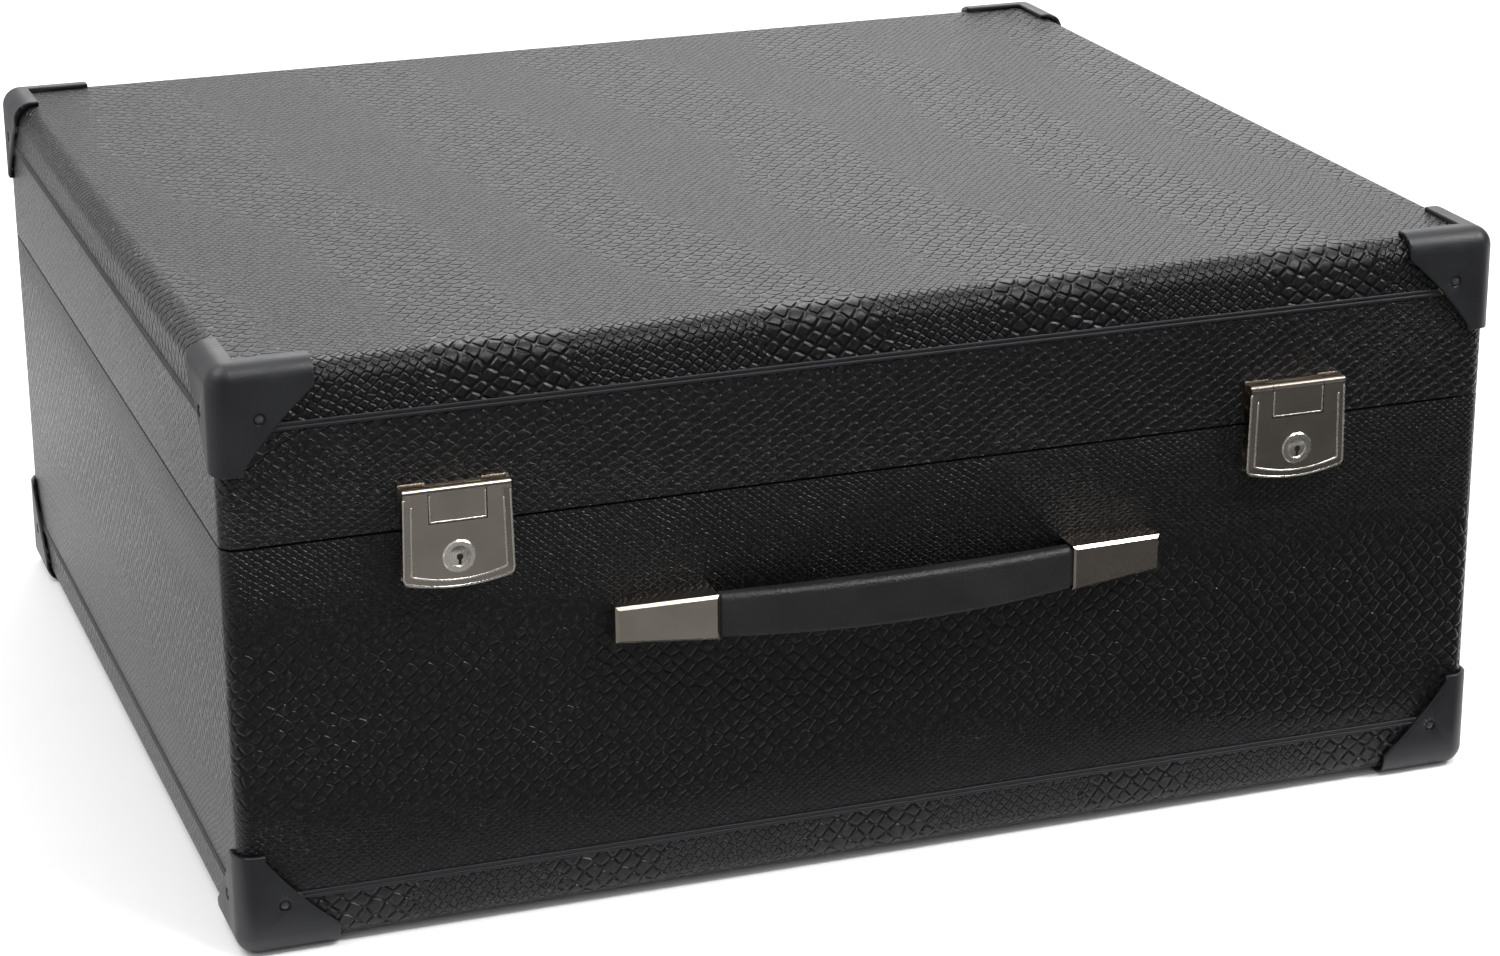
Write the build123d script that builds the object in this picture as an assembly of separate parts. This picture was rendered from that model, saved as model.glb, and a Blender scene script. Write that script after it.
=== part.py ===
from build123d import *
import os
from math import asin, atan2, cos, degrees, hypot, pi, radians, sin, sqrt

# Accordion case: a leatherette-covered plywood box with a lid hinged at the back.
# Millimetres. X runs along the front, Y from front to back, Z up.
# Z = 0 is the surface under the bottom corner caps; X = Y = 0 is the middle of the whole case.

# Covered box, outside of the leatherette
WIDTH = 560.0
DEPTH = 496.0
HEIGHT = 248.0
LID_HEIGHT = 73.5          # top down to the parting line
TOP_RADIUS = 10.0          # rounding of the lid's top edges
BOTTOM_RADIUS = 8.0
UPRIGHT_RADIUS = 7.0       # rounding of the four upright edges
SKIN = 1.0                 # leatherette
BOARD = 8.0                # plywood
PARTING_GAP = 0.8

# Welts, the beads that hide the covering's seams
WELT_WIDTH = 3.4
WELT_PROUD = 0.8
TOP_WELT_DROP = 24.5       # top of the case down to the middle of the lid's welt
BOTTOM_WELT_RISE = 22.6
WELT_END_GAP = 0.3

# Corner caps
CAP_WALL = 2.2
CAP_LEG = 40.0             # reach along the front and side edges
CAP_DROP = 43.0            # reach along the upright edge
CAP_TIP = 8.5              # width of each blunt end
CAP_WRAP = 10.5            # how far the cap folds over the top or bottom face
CAP_ROUND = 9.0            # ball of the corner
CAP_HOLLOW = 1.2           # the long side is hollow by about this much
CAP_TACK = 17.5            # tack from both edges of its face
CAP_TACK_DROP = 20.0
TACK_SHANK = 0.9
TACK_HEAD = 2.0
TACK_HEAD_RISE = 0.9
TACK_LENGTH = 8.0          # into skin and board
TACK_DISH = 2.7            # round recess that the head sits in
TACK_DISH_DEPTH = 1.0
DRILL_EASE = 0.05          # a drilled hole is this much larger than its shank, in radius

# Back: hinges and feet
HINGE_FROM_SIDE = 110.0    # middle of each hinge from the case's side
HINGE_LENGTH = 50.0
HINGE_REACH = 30.0
HINGE_SHEET = 1.2
HINGE_CORNER = 6.0
KNUCKLE_RADIUS = 3.4
KNUCKLE_LIFT = 0.4         # knuckle stands this far off the covering
KNUCKLE_GAP = 0.4
HINGE_PIN = 1.8
RUNNING_FIT = 0.05         # radial clearance of a pin that turns
LID_OPENING = 100.0        # degrees, where the hinge's stop meets the lower leaf
STOP_REACH = 6.2
STOP_SHEET = 1.6
STOP_GAP = 0.3
HINGE_RIVET = 1.5
HINGE_RIVET_INSET = 8.0    # outer rivets from the leaf's ends
HINGE_RIVET_OUTER = 0.72   # outer rivets, as a share of the leaf's reach
HINGE_RIVET_INNER = 0.45   # middle rivet, the same way
FOOT_HEIGHT = 12.0
FOOT_RADIUS = 12.0
FOOT_RIM = 3.0             # straight rim, and how much narrower the foot's top is
FOOT_ROUND = 2.5
FOOT_SINK = 6.0            # depth of the tack's well
FOOT_FROM_SIDE = 60.0
FOOT_FROM_EDGE = 42.0      # above the bottom, and below the top

# Inside
LIP_SHEET = 4.0
LIP_RISE = 8.0             # above the parting line
LIP_DEPTH = 20.0           # below the parting line
LIP_CLEARANCE = 0.3        # between the lip and the boards
LINING = 5.0
FLOOR_PAD = 10.0
TOP_PAD = 12.0
PAD_EDGE = 4.0
PAD_GAP = 0.3

# Latches
LATCH_FROM_SIDE = 94.0     # middle of each latch from the case's side
PLATE_SHEET = 1.0
PLATE_WIDTH = 45.6
PLATE_TOP = 18.5           # above the parting line
PLATE_EAR = 0.8            # raised ends of the lid plate's top edge
PLATE_EAR_WIDTH = 11.0
PLATE_BOTTOM = 20.8        # below the parting line, at the plate's sides
FLAP_SHEET = 1.3
FLAP_TOP_WIDTH = 44.6
FLAP_BOTTOM_WIDTH = 46.4
FLAP_BOTTOM = 21.6         # below the parting line, at the sides
FLAP_BELLY = 2.9           # how much lower the curved edge is at its middle
FLAP_CORNER = 3.0
FLAP_BORDER = 3.4          # bevelled border
FLAP_BORDER_DROP = 0.6
LATCH_PIN = 1.2
LATCH_KNUCKLE = 2.3
LATCH_PIN_OUT = 4.6        # pin's axis off the covering
TAB_WIDTH = 23.6
TAB_BOTTOM = 3.8           # above the parting line
TAB_GAP = 0.4
PLATE_SPLIT = 0.6          # each plate stops this far from the parting line
LOCK_DROP = 11.3           # lock's axis below the parting line
RING_RADIUS = 7.0
RING_RISE = 0.7
BARREL_RADIUS = 5.6
BARREL_DEPTH = 3.7         # barrel from the flap's face backwards
LOCK_RADIUS = 4.6
LOCK_DOME = 0.9
LOCK_NECK = 3.4
CAM_SHEET = 1.6
CAM_GAP = 0.4              # between the cam and the back of the base plate
CAM_REACH = 7.4
CAM_WIDTH = 4.4
SLOT_EASE = 1.0            # slot of the base plate round the lock's neck
KEY_PIN = 1.0
KEY_SLOT = 0.8
KEY_SLOT_LENGTH = 2.4
KEY_DEPTH = 2.5
PAN_WIDTH = 20.0
PAN_SHEET = 0.8
PAN_DEPTH = 4.6
PAN_EASE = 0.2             # pocket in the board round the pan
LUG_HEIGHT = 1.4
LUG_GAP = 0.5              # above the cam where it is turned to lock
LUG_CLEAR = 0.4            # beside the base plate's slot
LATCH_RIVET = 1.2
LATCH_RIVET_OUT = 16.5     # from the latch's middle
LATCH_RIVET_UP = 6.0
LATCH_RIVET_DOWN = 16.0
RIVET_HEAD_RATIO = 2.0     # head's radius over the shank's
RIVET_HEAD_RISE = 1.1

# Handle
HANDLE_DROP = 50.0         # handle's middle below the parting line
HANDLE_PROUD = 22.0        # front of the grip's middle off the covering
GRIP_THICK = 10.0          # at the middle
GRIP_END_THICK = 8.0
GRIP_HEIGHT = 21.5
GRIP_END_HEIGHT = 19.0
GRIP_ROUND = 3.2
GRIP_END_PROUD = 14.0      # front of the grip where it meets its caps
HANDLE_CAP_INNER = 79.0    # mouth of each cap from the handle's middle
HANDLE_CAP_OUTER = 121.7
HANDLE_CAP_WALL = 0.9
HANDLE_CAP_PROUD = 14.5
HANDLE_CAP_END_PROUD = 8.5
HANDLE_CAP_HEIGHT = 19.6
HANDLE_CAP_END_HEIGHT = 15.6
HANDLE_CAP_BEVEL = 1.2
GRIP_SHOULDER_GAP = 0.5
NECK_TUCK = 4.5            # grip's neck inside the cap
NECK_THICK = 6.4
NECK_HEIGHT = 16.6
NECK_ROUND = 1.5
NECK_ROOT = 2.0            # how far the neck starts inside the grip
LINK_HINGE = 26.0          # where the grip's ends bend, from the middle
LINK_KNUCKLE = 4.6
LINK_GAP = 0.3
LINK_RELIEF = 1.6
BAND_SHEET = 1.0
BAND_HEIGHT = 12.0
BAND_START = 33.0
BAND_END = 96.6
BAND_EASE = 0.03           # pocket in the rubber round the band
POST_X = 88.0
POST_RADIUS = 1.8
POST_TOP = 11.6
POST_SLIDE = 5.4           # how far the band runs along its post
POST_EASE = 0.4
MOUNT_SHEET = 1.2
MOUNT_HEIGHT = 12.0
MOUNT_START = 84.5
MOUNT_END = 118.0
HANDLE_RIVET = 1.6
HANDLE_RIVET_X = (102.0, 113.0)
BACKING_SHEET = 1.5
HANDLE_LIFT = 14.0         # how far the grip's middle can be drawn out

# Places worked out from the sizes
MIDDLE_Y = (HANDLE_PROUD - FOOT_HEIGHT) / 2
FRONT = MIDDLE_Y - DEPTH / 2
BACK = MIDDLE_Y + DEPTH / 2
BOTTOM = CAP_WALL
TOP = BOTTOM + HEIGHT
PARTING = TOP - LID_HEIGHT
TOP_WELT = TOP - TOP_WELT_DROP
BOTTOM_WELT = BOTTOM + BOTTOM_WELT_RISE
WALL = SKIN + BOARD
HINGE_OUT = KNUCKLE_RADIUS + KNUCKLE_LIFT
HINGE_Y = BACK + HINGE_OUT
LATCH_PIN_UP = PLATE_TOP - LATCH_KNUCKLE
FLAP_FACE = LATCH_PIN_OUT + LATCH_KNUCKLE
HANDLE_Z = PARTING - HANDLE_DROP
BIG = 2 * WIDTH
PAST = 1.01                # cutters run this much past what they trim

os.makedirs("parts", exist_ok=True)
written = []


def keep(name, *shapes):
    """Writes one node; several shapes make a group of separate solids."""
    solids = [s for shape in shapes for s in shape.solids()]
    export_step(Compound(children=solids), f"parts/{name}.step")
    written.append(name)


def block(low, high):
    """A box from its lowest to its highest corner."""
    size = [b - a for a, b in zip(low, high)]
    return Pos(*low) * Box(*size, align=(Align.MIN, Align.MIN, Align.MIN))


def rod(start, way, radius, length):
    """A cylinder from a point along a direction."""
    base = Plane(origin=start, z_dir=way)
    return base * Cylinder(radius, length, align=(Align.CENTER, Align.CENTER, Align.MIN))


def dome(start, way, radius, rise):
    """A shallow rounded head: the cap of a sphere that stands on a plane."""
    ball = (radius * radius + rise * rise) / (2 * rise)
    head = Pos(0, 0, rise - ball) * Sphere(ball)
    trim = Cylinder(radius * PAST, rise * PAST, align=(Align.CENTER, Align.CENTER, Align.MIN))
    return Plane(origin=start, z_dir=way) * (head & trim)


def mirrored_x(shape):
    return mirror(shape, about=Plane.YZ)


def pair(from_side):
    """X of a left and a right piece at a distance from the case's sides."""
    return from_side - WIDTH / 2, WIDTH / 2 - from_side


# Covered box

def profile(across, up, low_radius, high_radius):
    """A rectangle with its lower and its upper corners rounded differently."""
    face = Rectangle(across, up)
    face = fillet(face.vertices().group_by(Axis.Y)[0], low_radius)
    return fillet(face.vertices().group_by(Axis.Y)[-1], high_radius)


def case_form(inset):
    """The closed case's outer form, drawn in by an inset: three rounded prisms cut each other."""
    width, depth, height = WIDTH - 2 * inset, DEPTH - 2 * inset, HEIGHT - 2 * inset
    low, high = BOTTOM_RADIUS - inset, TOP_RADIUS - inset
    middle = Pos(0, MIDDLE_Y, BOTTOM + HEIGHT / 2)
    along_y = extrude(Plane.XZ * profile(width, height, low, high), BIG, both=True)
    along_x = extrude(Plane.YZ * profile(depth, height, low, high), BIG, both=True)
    along_z = extrude(RectangleRounded(width, depth, UPRIGHT_RADIUS - inset), BIG, both=True)
    return middle * (along_y & along_x & along_z)


def band(shape, low, high):
    """The slice of a shape between two heights."""
    return shape & block((-BIG, -BIG, low), (BIG, BIG, high))


def boards(wood, low, high, panel_low, panel_high):
    """Front, back and the two side boards between two heights, and the panel that closes them."""
    inner_x, inner_front, inner_back = WIDTH / 2 - WALL, FRONT + WALL, BACK - WALL
    walls = band(wood, low, high)
    front = walls & block((-BIG, -BIG, low), (BIG, inner_front, high))
    back = walls & block((-BIG, inner_back, low), (BIG, BIG, high))
    left = walls & block((-BIG, inner_front, low), (-inner_x, inner_back, high))
    panel = band(wood, panel_low, panel_high)
    return front, back, [left, mirrored_x(left)], panel


def welt(height, caps):
    """A half-round bead round the case at one height, ending at the corner caps."""
    def ring(inset, up):
        flat = RectangleRounded(WIDTH - 2 * inset, DEPTH - 2 * inset, UPRIGHT_RADIUS - inset)
        return Pos(0, MIDDLE_Y, height - up / 2) * extrude(flat, up)
    bead = ring(-WELT_PROUD, WELT_WIDTH)
    rim = bead.faces().filter_by(Axis.Z).edges()
    bead = fillet(rim, WELT_PROUD) - ring(SKIN, WELT_WIDTH * 2)
    return bead - caps


# Corner caps

def cap_outline(leg, drop, grow):
    """A blunt triangle in a face: legs from the corner, ends CAP_TIP wide, a slightly hollow long side."""
    tip = CAP_TIP + grow
    far_x, far_z = leg + grow, drop + grow
    sag = ((far_x + tip) / 2 - CAP_HOLLOW, (far_z + tip) / 2 - CAP_HOLLOW)
    side = ThreePointArc((far_x, tip), sag, (tip, far_z))
    out = -CAP_WALL * 3
    edges = Polyline((tip, far_z), (out, far_z), (out, out), (far_x, out), (far_x, tip))
    return make_face([side, edges])


def cap_reach(grow):
    """Where a cap lies, in a corner at the origin with the case towards +X, +Y, +Z."""
    wrap = CAP_WRAP + grow
    front = Plane.XZ * cap_outline(CAP_LEG, CAP_DROP, grow)
    front = extrude(front, wrap, dir=(0, 1, 0)) + extrude(front, 3 * CAP_WALL, dir=(0, -1, 0))
    side = Plane.YZ * cap_outline(CAP_LEG, CAP_DROP, grow)
    side = extrude(side, wrap, dir=(1, 0, 0)) + extrude(side, 3 * CAP_WALL, dir=(-1, 0, 0))
    return front + side


def corner_frame(right, back, top):
    """Mirror and place that carry a shape from the front left bottom corner to another one."""
    def place(shape):
        if right:
            shape = mirror(shape, about=Plane.YZ)
        if back:
            shape = mirror(shape, about=Plane.XZ)
        if top:
            shape = mirror(shape, about=Plane.XY)
        x = WIDTH / 2 if right else -WIDTH / 2
        return Pos(x, BACK if back else FRONT, TOP if top else BOTTOM) * shape
    return place


def tack_spots():
    """Start on the covering and outward way of a cap's two tacks, in the corner's own frame."""
    return [((CAP_TACK, 0, CAP_TACK_DROP), (0, -1, 0)), ((0, CAP_TACK, CAP_TACK_DROP), (-1, 0, 0))]


def outwards(point, way, distance):
    return tuple(p + w * distance for p, w in zip(point, way))


def corner_cap():
    """A moulded cap: ball-cornered block, cut to its blunt-ended reach, dished for two tacks."""
    size = CAP_DROP * 2
    low = -CAP_WALL
    ball = block((low, low, low), (size, size, size))
    near = [e for e in ball.edges() if sum(abs(c - low) < 0.01 for c in e.center()) == 2]
    ball = fillet(near, CAP_ROUND)
    cap = ball & cap_reach(0)
    for spot, way in tack_spots():
        dish = outwards(spot, way, CAP_WALL - TACK_DISH_DEPTH)
        cap -= rod(dish, way, TACK_DISH, TACK_DISH_DEPTH * 2)
        inside = outwards(spot, way, -TACK_LENGTH)
        cap -= rod(inside, way, TACK_SHANK + DRILL_EASE, TACK_LENGTH * 2)
    return cap


def tack(spot, way):
    """A round-headed tack whose head sits in a cap's dish."""
    seat = CAP_WALL - TACK_DISH_DEPTH
    shank = rod(outwards(spot, way, -TACK_LENGTH), way, TACK_SHANK, TACK_LENGTH + seat)
    return shank + dome(outwards(spot, way, seat), way, TACK_HEAD, TACK_HEAD_RISE)


def tack_hole(spot, way):
    return rod(outwards(spot, way, -TACK_LENGTH), way, TACK_SHANK + DRILL_EASE, TACK_LENGTH * 2)


def rivet(spot, way, shank, sheet, depth):
    """A round-headed rivet through a sheet on the covering and down to a depth."""
    stem = rod(outwards(spot, way, -depth), way, shank, depth + sheet)
    return stem + dome(outwards(spot, way, sheet), way, shank * RIVET_HEAD_RATIO, RIVET_HEAD_RISE)


def rivet_hole(spot, way, shank, sheet, depth):
    return rod(outwards(spot, way, -depth), way, shank + DRILL_EASE, depth + sheet)


# Hinges and feet at the back

def hinge_rivets(x, side):
    """Three spots of one leaf, side +1 for the lid's and -1 for the base's."""
    spread = HINGE_LENGTH / 2 - HINGE_RIVET_INSET
    rows = ((-spread, HINGE_RIVET_OUTER), (0, HINGE_RIVET_INNER), (spread, HINGE_RIVET_OUTER))
    return [((x + dx, BACK, PARTING + side * HINGE_REACH * share), (0, 1, 0)) for dx, share in rows]


def hinge_leaf(x, side):
    """A leaf rolled round the pin. The base's leaf has the two outer knuckles, the lid's the middle one."""
    third = HINGE_LENGTH / 3
    half = HINGE_LENGTH / 2
    edge = KNUCKLE_RADIUS + KNUCKLE_GAP
    ends = sorted((PARTING + side * edge, PARTING + side * HINGE_REACH))
    leaf = block((x - half, BACK, ends[0]), (x + half, BACK + HINGE_SHEET, ends[1]))
    corners = leaf.edges().filter_by(Axis.Y)
    outer = corners.sort_by(Axis.Z)[:2] if side < 0 else corners.sort_by(Axis.Z)[-2:]
    leaf = fillet(outer, HINGE_CORNER)
    if side > 0:
        spans = [(-third / 2 + KNUCKLE_GAP / 2, third / 2 - KNUCKLE_GAP / 2)]
    else:
        spans = [(-half, -third / 2 - KNUCKLE_GAP / 2), (third / 2 + KNUCKLE_GAP / 2, half)]
    for a, b in spans:
        knuckle = rod((x + a, HINGE_Y, PARTING), (1, 0, 0), KNUCKLE_RADIUS, b - a)
        near = sorted((PARTING, PARTING + side * edge * PAST))
        web = block((x + a, BACK, near[0]), (x + b, BACK + HINGE_SHEET, near[1]))
        leaf += knuckle + web
    if side > 0:
        leaf += stop_fin(x, spans[0])
    leaf -= rod((x - half * PAST, HINGE_Y, PARTING), (1, 0, 0), HINGE_PIN + RUNNING_FIT, HINGE_LENGTH * PAST)
    for spot, way in hinge_rivets(x, side):
        leaf -= rivet_hole(spot, way, HINGE_RIVET, HINGE_SHEET, BOARD)
    return leaf


def stop_fin(x, span):
    """Drawn where it stands with the lid open, just off the base's leaf, then turned back to the closed lid."""
    face = HINGE_SHEET - HINGE_OUT + STOP_GAP
    tilt = degrees(asin((face + STOP_SHEET / 2) / STOP_REACH))
    fin = block((span[0], -STOP_SHEET / 2, -STOP_REACH), (span[1], STOP_SHEET / 2, 0))
    fin = Rot(tilt, 0, 0) * fin
    return Pos(x, HINGE_Y, PARTING) * Rot(LID_OPENING, 0, 0) * fin


def rear_foot(x, z):
    """A turned foot with a rounded rim and a dish for its tack."""
    top = FOOT_RADIUS - FOOT_RIM
    side = [(FOOT_RADIUS, 0), (FOOT_RADIUS, FOOT_RIM), (top, FOOT_HEIGHT)]
    section = make_face(Plane.XZ * Polyline((0, 0), *side, (0, FOOT_HEIGHT), (0, 0)))
    foot = revolve(section, Axis.Z)
    foot = fillet(foot.edges().group_by(Axis.Z)[-1], FOOT_ROUND)
    foot -= rod((0, 0, FOOT_HEIGHT - FOOT_SINK), (0, 0, 1), TACK_DISH, FOOT_HEIGHT)
    foot -= Cylinder(TACK_SHANK + DRILL_EASE, FOOT_HEIGHT * 3)
    return Plane(origin=(x, BACK, z), z_dir=(0, 1, 0)) * foot


def foot_tack(x, z):
    seat = FOOT_HEIGHT - FOOT_SINK
    spot, way = (x, BACK, z), (0, 1, 0)
    shank = rod(outwards(spot, way, -TACK_LENGTH), way, TACK_SHANK, TACK_LENGTH + seat)
    return shank + dome(outwards(spot, way, seat), way, TACK_HEAD, TACK_HEAD_RISE)


# Latches: u across, w outwards from the covering, v above the parting line

def latch_point(u, w, v):
    return (u, FRONT - w, PARTING + v)


def latch_sheet(outline, low_w, high_w):
    """Extrudes an outline drawn in u and v between two distances off the covering."""
    plane = Plane(origin=latch_point(0, low_w, 0), x_dir=(1, 0, 0), z_dir=(0, -1, 0))
    return extrude(plane * outline, high_w - low_w)


def latch_rod(u, v, low_w, high_w, radius):
    return rod(latch_point(u, low_w, v), (0, -1, 0), radius, high_w - low_w)


def latch_roll(low_u, high_u, radius):
    """A rolled knuckle or pin along the latch's hinge line."""
    return rod(latch_point(low_u, LATCH_PIN_OUT, LATCH_PIN_UP), (1, 0, 0), radius, high_u - low_u)


def flap_outline(inset):
    """Straight top, sides that widen a little, and a belly with rounded corners."""
    top, low = FLAP_TOP_WIDTH / 2 - inset, FLAP_BOTTOM_WIDTH / 2 - inset
    bottom = -FLAP_BOTTOM + inset
    belly = bottom - FLAP_BELLY
    sides = Polyline((-low, bottom), (-top, LATCH_PIN_UP), (top, LATCH_PIN_UP), (low, bottom))
    face = make_face([sides, ThreePointArc((low, bottom), (0, belly), (-low, bottom))])
    corners = face.vertices().group_by(Axis.Y)[0]
    return fillet(corners, max(FLAP_CORNER - inset / 2, 0.5))


def rect(low_u, low_v, high_u, high_v):
    """A rectangle from its lowest to its highest corner."""
    middle = Pos((low_u + high_u) / 2, (low_v + high_v) / 2)
    return middle * Rectangle(high_u - low_u, high_v - low_v)


def tab_notch():
    half = TAB_WIDTH / 2 + TAB_GAP
    return rect(-half, TAB_BOTTOM - TAB_GAP, half, PLATE_TOP * 2)


def latch_flap():
    """Pressed flap with a bevelled border, rolled at both ends of its top edge round the pin."""
    back = FLAP_FACE - FLAP_SHEET
    step = FLAP_FACE - FLAP_BORDER_DROP
    flap = latch_sheet(flap_outline(0), back, step)
    plane = Plane(origin=latch_point(0, 0, 0), x_dir=(1, 0, 0), z_dir=(0, -1, 0))
    wide = plane.offset(step) * flap_outline(0)
    narrow = plane.offset(FLAP_FACE) * flap_outline(FLAP_BORDER)
    flap += loft([wide, narrow])
    edge = FLAP_TOP_WIDTH / 2
    inner = TAB_WIDTH / 2 + TAB_GAP
    flap -= latch_sheet(tab_notch(), 0, FLAP_FACE * 2)
    flap -= latch_sheet(Pos(0, -LOCK_DROP) * Circle(BARREL_RADIUS + RUNNING_FIT), 0, FLAP_FACE * 2)
    for low, high in ((-edge, -inner), (inner, edge)):
        flap += latch_roll(low, high, LATCH_KNUCKLE)
    return flap - latch_roll(-BIG, BIG, LATCH_PIN + RUNNING_FIT)


def lid_plate():
    """Upper back plate with raised ends; its tongue rolls over the pin and hangs in the flap's notch."""
    half, low = PLATE_WIDTH / 2, PLATE_SPLIT
    ear = half - PLATE_EAR_WIDTH
    plate = latch_sheet(rect(-half, low, half, PLATE_TOP), 0, PLATE_SHEET)
    for a, b in ((-half, -ear), (ear, half)):
        plate += latch_sheet(rect(a, low, b, PLATE_TOP + PLATE_EAR), 0, PLATE_SHEET)
    tab = TAB_WIDTH / 2
    neck = rect(-tab, LATCH_PIN_UP - PLATE_SHEET, tab, LATCH_PIN_UP + PLATE_SHEET)
    plate += latch_sheet(neck, 0, LATCH_PIN_OUT)
    plate += latch_roll(-tab, tab, LATCH_KNUCKLE)
    plate += latch_sheet(rect(-tab, TAB_BOTTOM, tab, LATCH_PIN_UP), FLAP_FACE - FLAP_SHEET, FLAP_FACE)
    plate -= latch_roll(-BIG, BIG, LATCH_PIN)
    for u in (-LATCH_RIVET_OUT, LATCH_RIVET_OUT):
        plate -= latch_rod(u, LATCH_RIVET_UP, -BOARD, PLATE_SHEET, LATCH_RIVET + DRILL_EASE)
    return plate


def slot_bottom():
    return -LOCK_DROP - CAM_REACH - SLOT_EASE - CAM_GAP


def base_plate():
    """Lower back plate, slotted from its top edge so that the lock's neck can leave upwards or outwards."""
    half, high = PLATE_WIDTH / 2, -PLATE_SPLIT
    sides = Polyline((-half, -PLATE_BOTTOM), (-half, high), (half, high), (half, -PLATE_BOTTOM))
    arc = ThreePointArc((half, -PLATE_BOTTOM), (0, -PLATE_BOTTOM - FLAP_BELLY), (-half, -PLATE_BOTTOM))
    plate = latch_sheet(make_face([sides, arc]), 0, PLATE_SHEET)
    slot = LOCK_NECK + SLOT_EASE
    plate -= latch_sheet(rect(-slot, slot_bottom(), slot, 1), -1, PLATE_SHEET * 2)
    for u in (-LATCH_RIVET_OUT, LATCH_RIVET_OUT):
        plate -= latch_rod(u, -LATCH_RIVET_DOWN, -BOARD, PLATE_SHEET, LATCH_RIVET + DRILL_EASE)
    return plate


def keeper_pan():
    """Drawn pan behind the base plate, open at the front and top, with a lug that stops the turned cam."""
    half, low, high = PAN_WIDTH / 2, slot_bottom() - PAN_SHEET, -PLATE_SPLIT
    inner = half - PAN_SHEET
    pan = latch_sheet(rect(-half, low, half, high), -PAN_DEPTH, 0)
    pan -= latch_sheet(rect(-inner, slot_bottom(), inner, 1), PAN_SHEET - PAN_DEPTH, 1)
    lug = CAM_WIDTH / 2 + LUG_GAP - LOCK_DROP
    clear = LOCK_NECK + SLOT_EASE + LUG_CLEAR
    pan += latch_sheet(rect(clear, lug, inner * PAST, lug + LUG_HEIGHT), PAN_SHEET - PAN_DEPTH, 0)
    return pan


def pan_pocket():
    """What the board and its covering lose to the keeper pan."""
    half, low = PAN_WIDTH / 2 + PAN_EASE, slot_bottom() - PAN_SHEET - PAN_EASE
    return latch_sheet(rect(-half, low, half, 1), -PAN_DEPTH - PAN_EASE, 1)


def lock_barrel():
    """Ring and tube pressed into the flap; the ring's face falls away in a bevel."""
    ring = latch_rod(0, -LOCK_DROP, FLAP_FACE, FLAP_FACE + RING_RISE, RING_RADIUS)
    rim = ring.edges().sort_by(Axis.Y)[0]
    ring = chamfer(rim, RING_RISE * 0.8)
    barrel = ring + latch_rod(0, -LOCK_DROP, FLAP_FACE - BARREL_DEPTH, FLAP_FACE, BARREL_RADIUS)
    return barrel - latch_rod(0, -LOCK_DROP, 0, FLAP_FACE * 2, LOCK_RADIUS + RUNNING_FIT)


def lock_cylinder():
    """Domed plug with a keyhole, a neck through the base plate's slot, and the cam, hanging when unlocked."""
    back = FLAP_FACE - BARREL_DEPTH
    plug = latch_rod(0, -LOCK_DROP, back, FLAP_FACE, LOCK_RADIUS)
    plug += dome(latch_point(0, FLAP_FACE, -LOCK_DROP), (0, -1, 0), LOCK_RADIUS, LOCK_DOME)
    key = FLAP_FACE + LOCK_DOME
    hole = latch_rod(0, -LOCK_DROP, key - KEY_DEPTH, key * 2, KEY_PIN)
    slit = rect(-KEY_SLOT / 2, -LOCK_DROP - KEY_SLOT_LENGTH, KEY_SLOT / 2, -LOCK_DROP)
    hole += latch_sheet(slit, key - KEY_DEPTH, key * 2)
    plug += latch_rod(0, -LOCK_DROP, -CAM_GAP - CAM_SHEET, back, LOCK_NECK)
    half = CAM_WIDTH / 2
    tip = -LOCK_DROP - CAM_REACH + half
    cam = rect(-half, tip, half, -LOCK_DROP) + Pos(0, tip) * Circle(half)
    plug += latch_sheet(cam, -CAM_GAP - CAM_SHEET, -CAM_GAP)
    return plug - hole


def latch_rivet_spots(above):
    v = LATCH_RIVET_UP if above else -LATCH_RIVET_DOWN
    return [(latch_point(u, 0, v), (0, -1, 0)) for u in (-LATCH_RIVET_OUT, LATCH_RIVET_OUT)]


# Handle: x from its middle, w outwards from the covering, height from its own axis

def handle_point(x, w, z):
    return (x, FRONT - w, HANDLE_Z + z)


def bow(half, end_w, middle_w):
    """Radius and centre of the arc in plan through both ends and the middle of the bowed handle."""
    rise = middle_w - end_w
    radius = (half * half + rise * rise) / (2 * rise)
    return radius, middle_w - radius


def bowed_face(half, front_end, front_middle, back_end, back_middle):
    """Plan of a bowed strip, between a front and a back arc."""
    front = ThreePointArc((-half, front_end), (0, front_middle), (half, front_end))
    back = ThreePointArc((half, back_end), (0, back_middle), (-half, back_end))
    left = Line((-half, back_end), (-half, front_end))
    right = Line((half, front_end), (half, back_end))
    return make_face([front, right, back, left])


def plan_prism(face, low, high):
    """Stands a face drawn in x and w up between two heights."""
    plane = Plane(origin=handle_point(0, 0, low), x_dir=(1, 0, 0), z_dir=(0, 0, -1))
    return extrude(plane * face, -(high - low))


def band_w(x):
    """Off the covering, the handle's middle line at x."""
    half = HANDLE_CAP_INNER
    radius, centre = bow(half, GRIP_END_PROUD - GRIP_END_THICK / 2, HANDLE_PROUD - GRIP_THICK / 2)
    return centre + sqrt(radius * radius - x * x)


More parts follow.
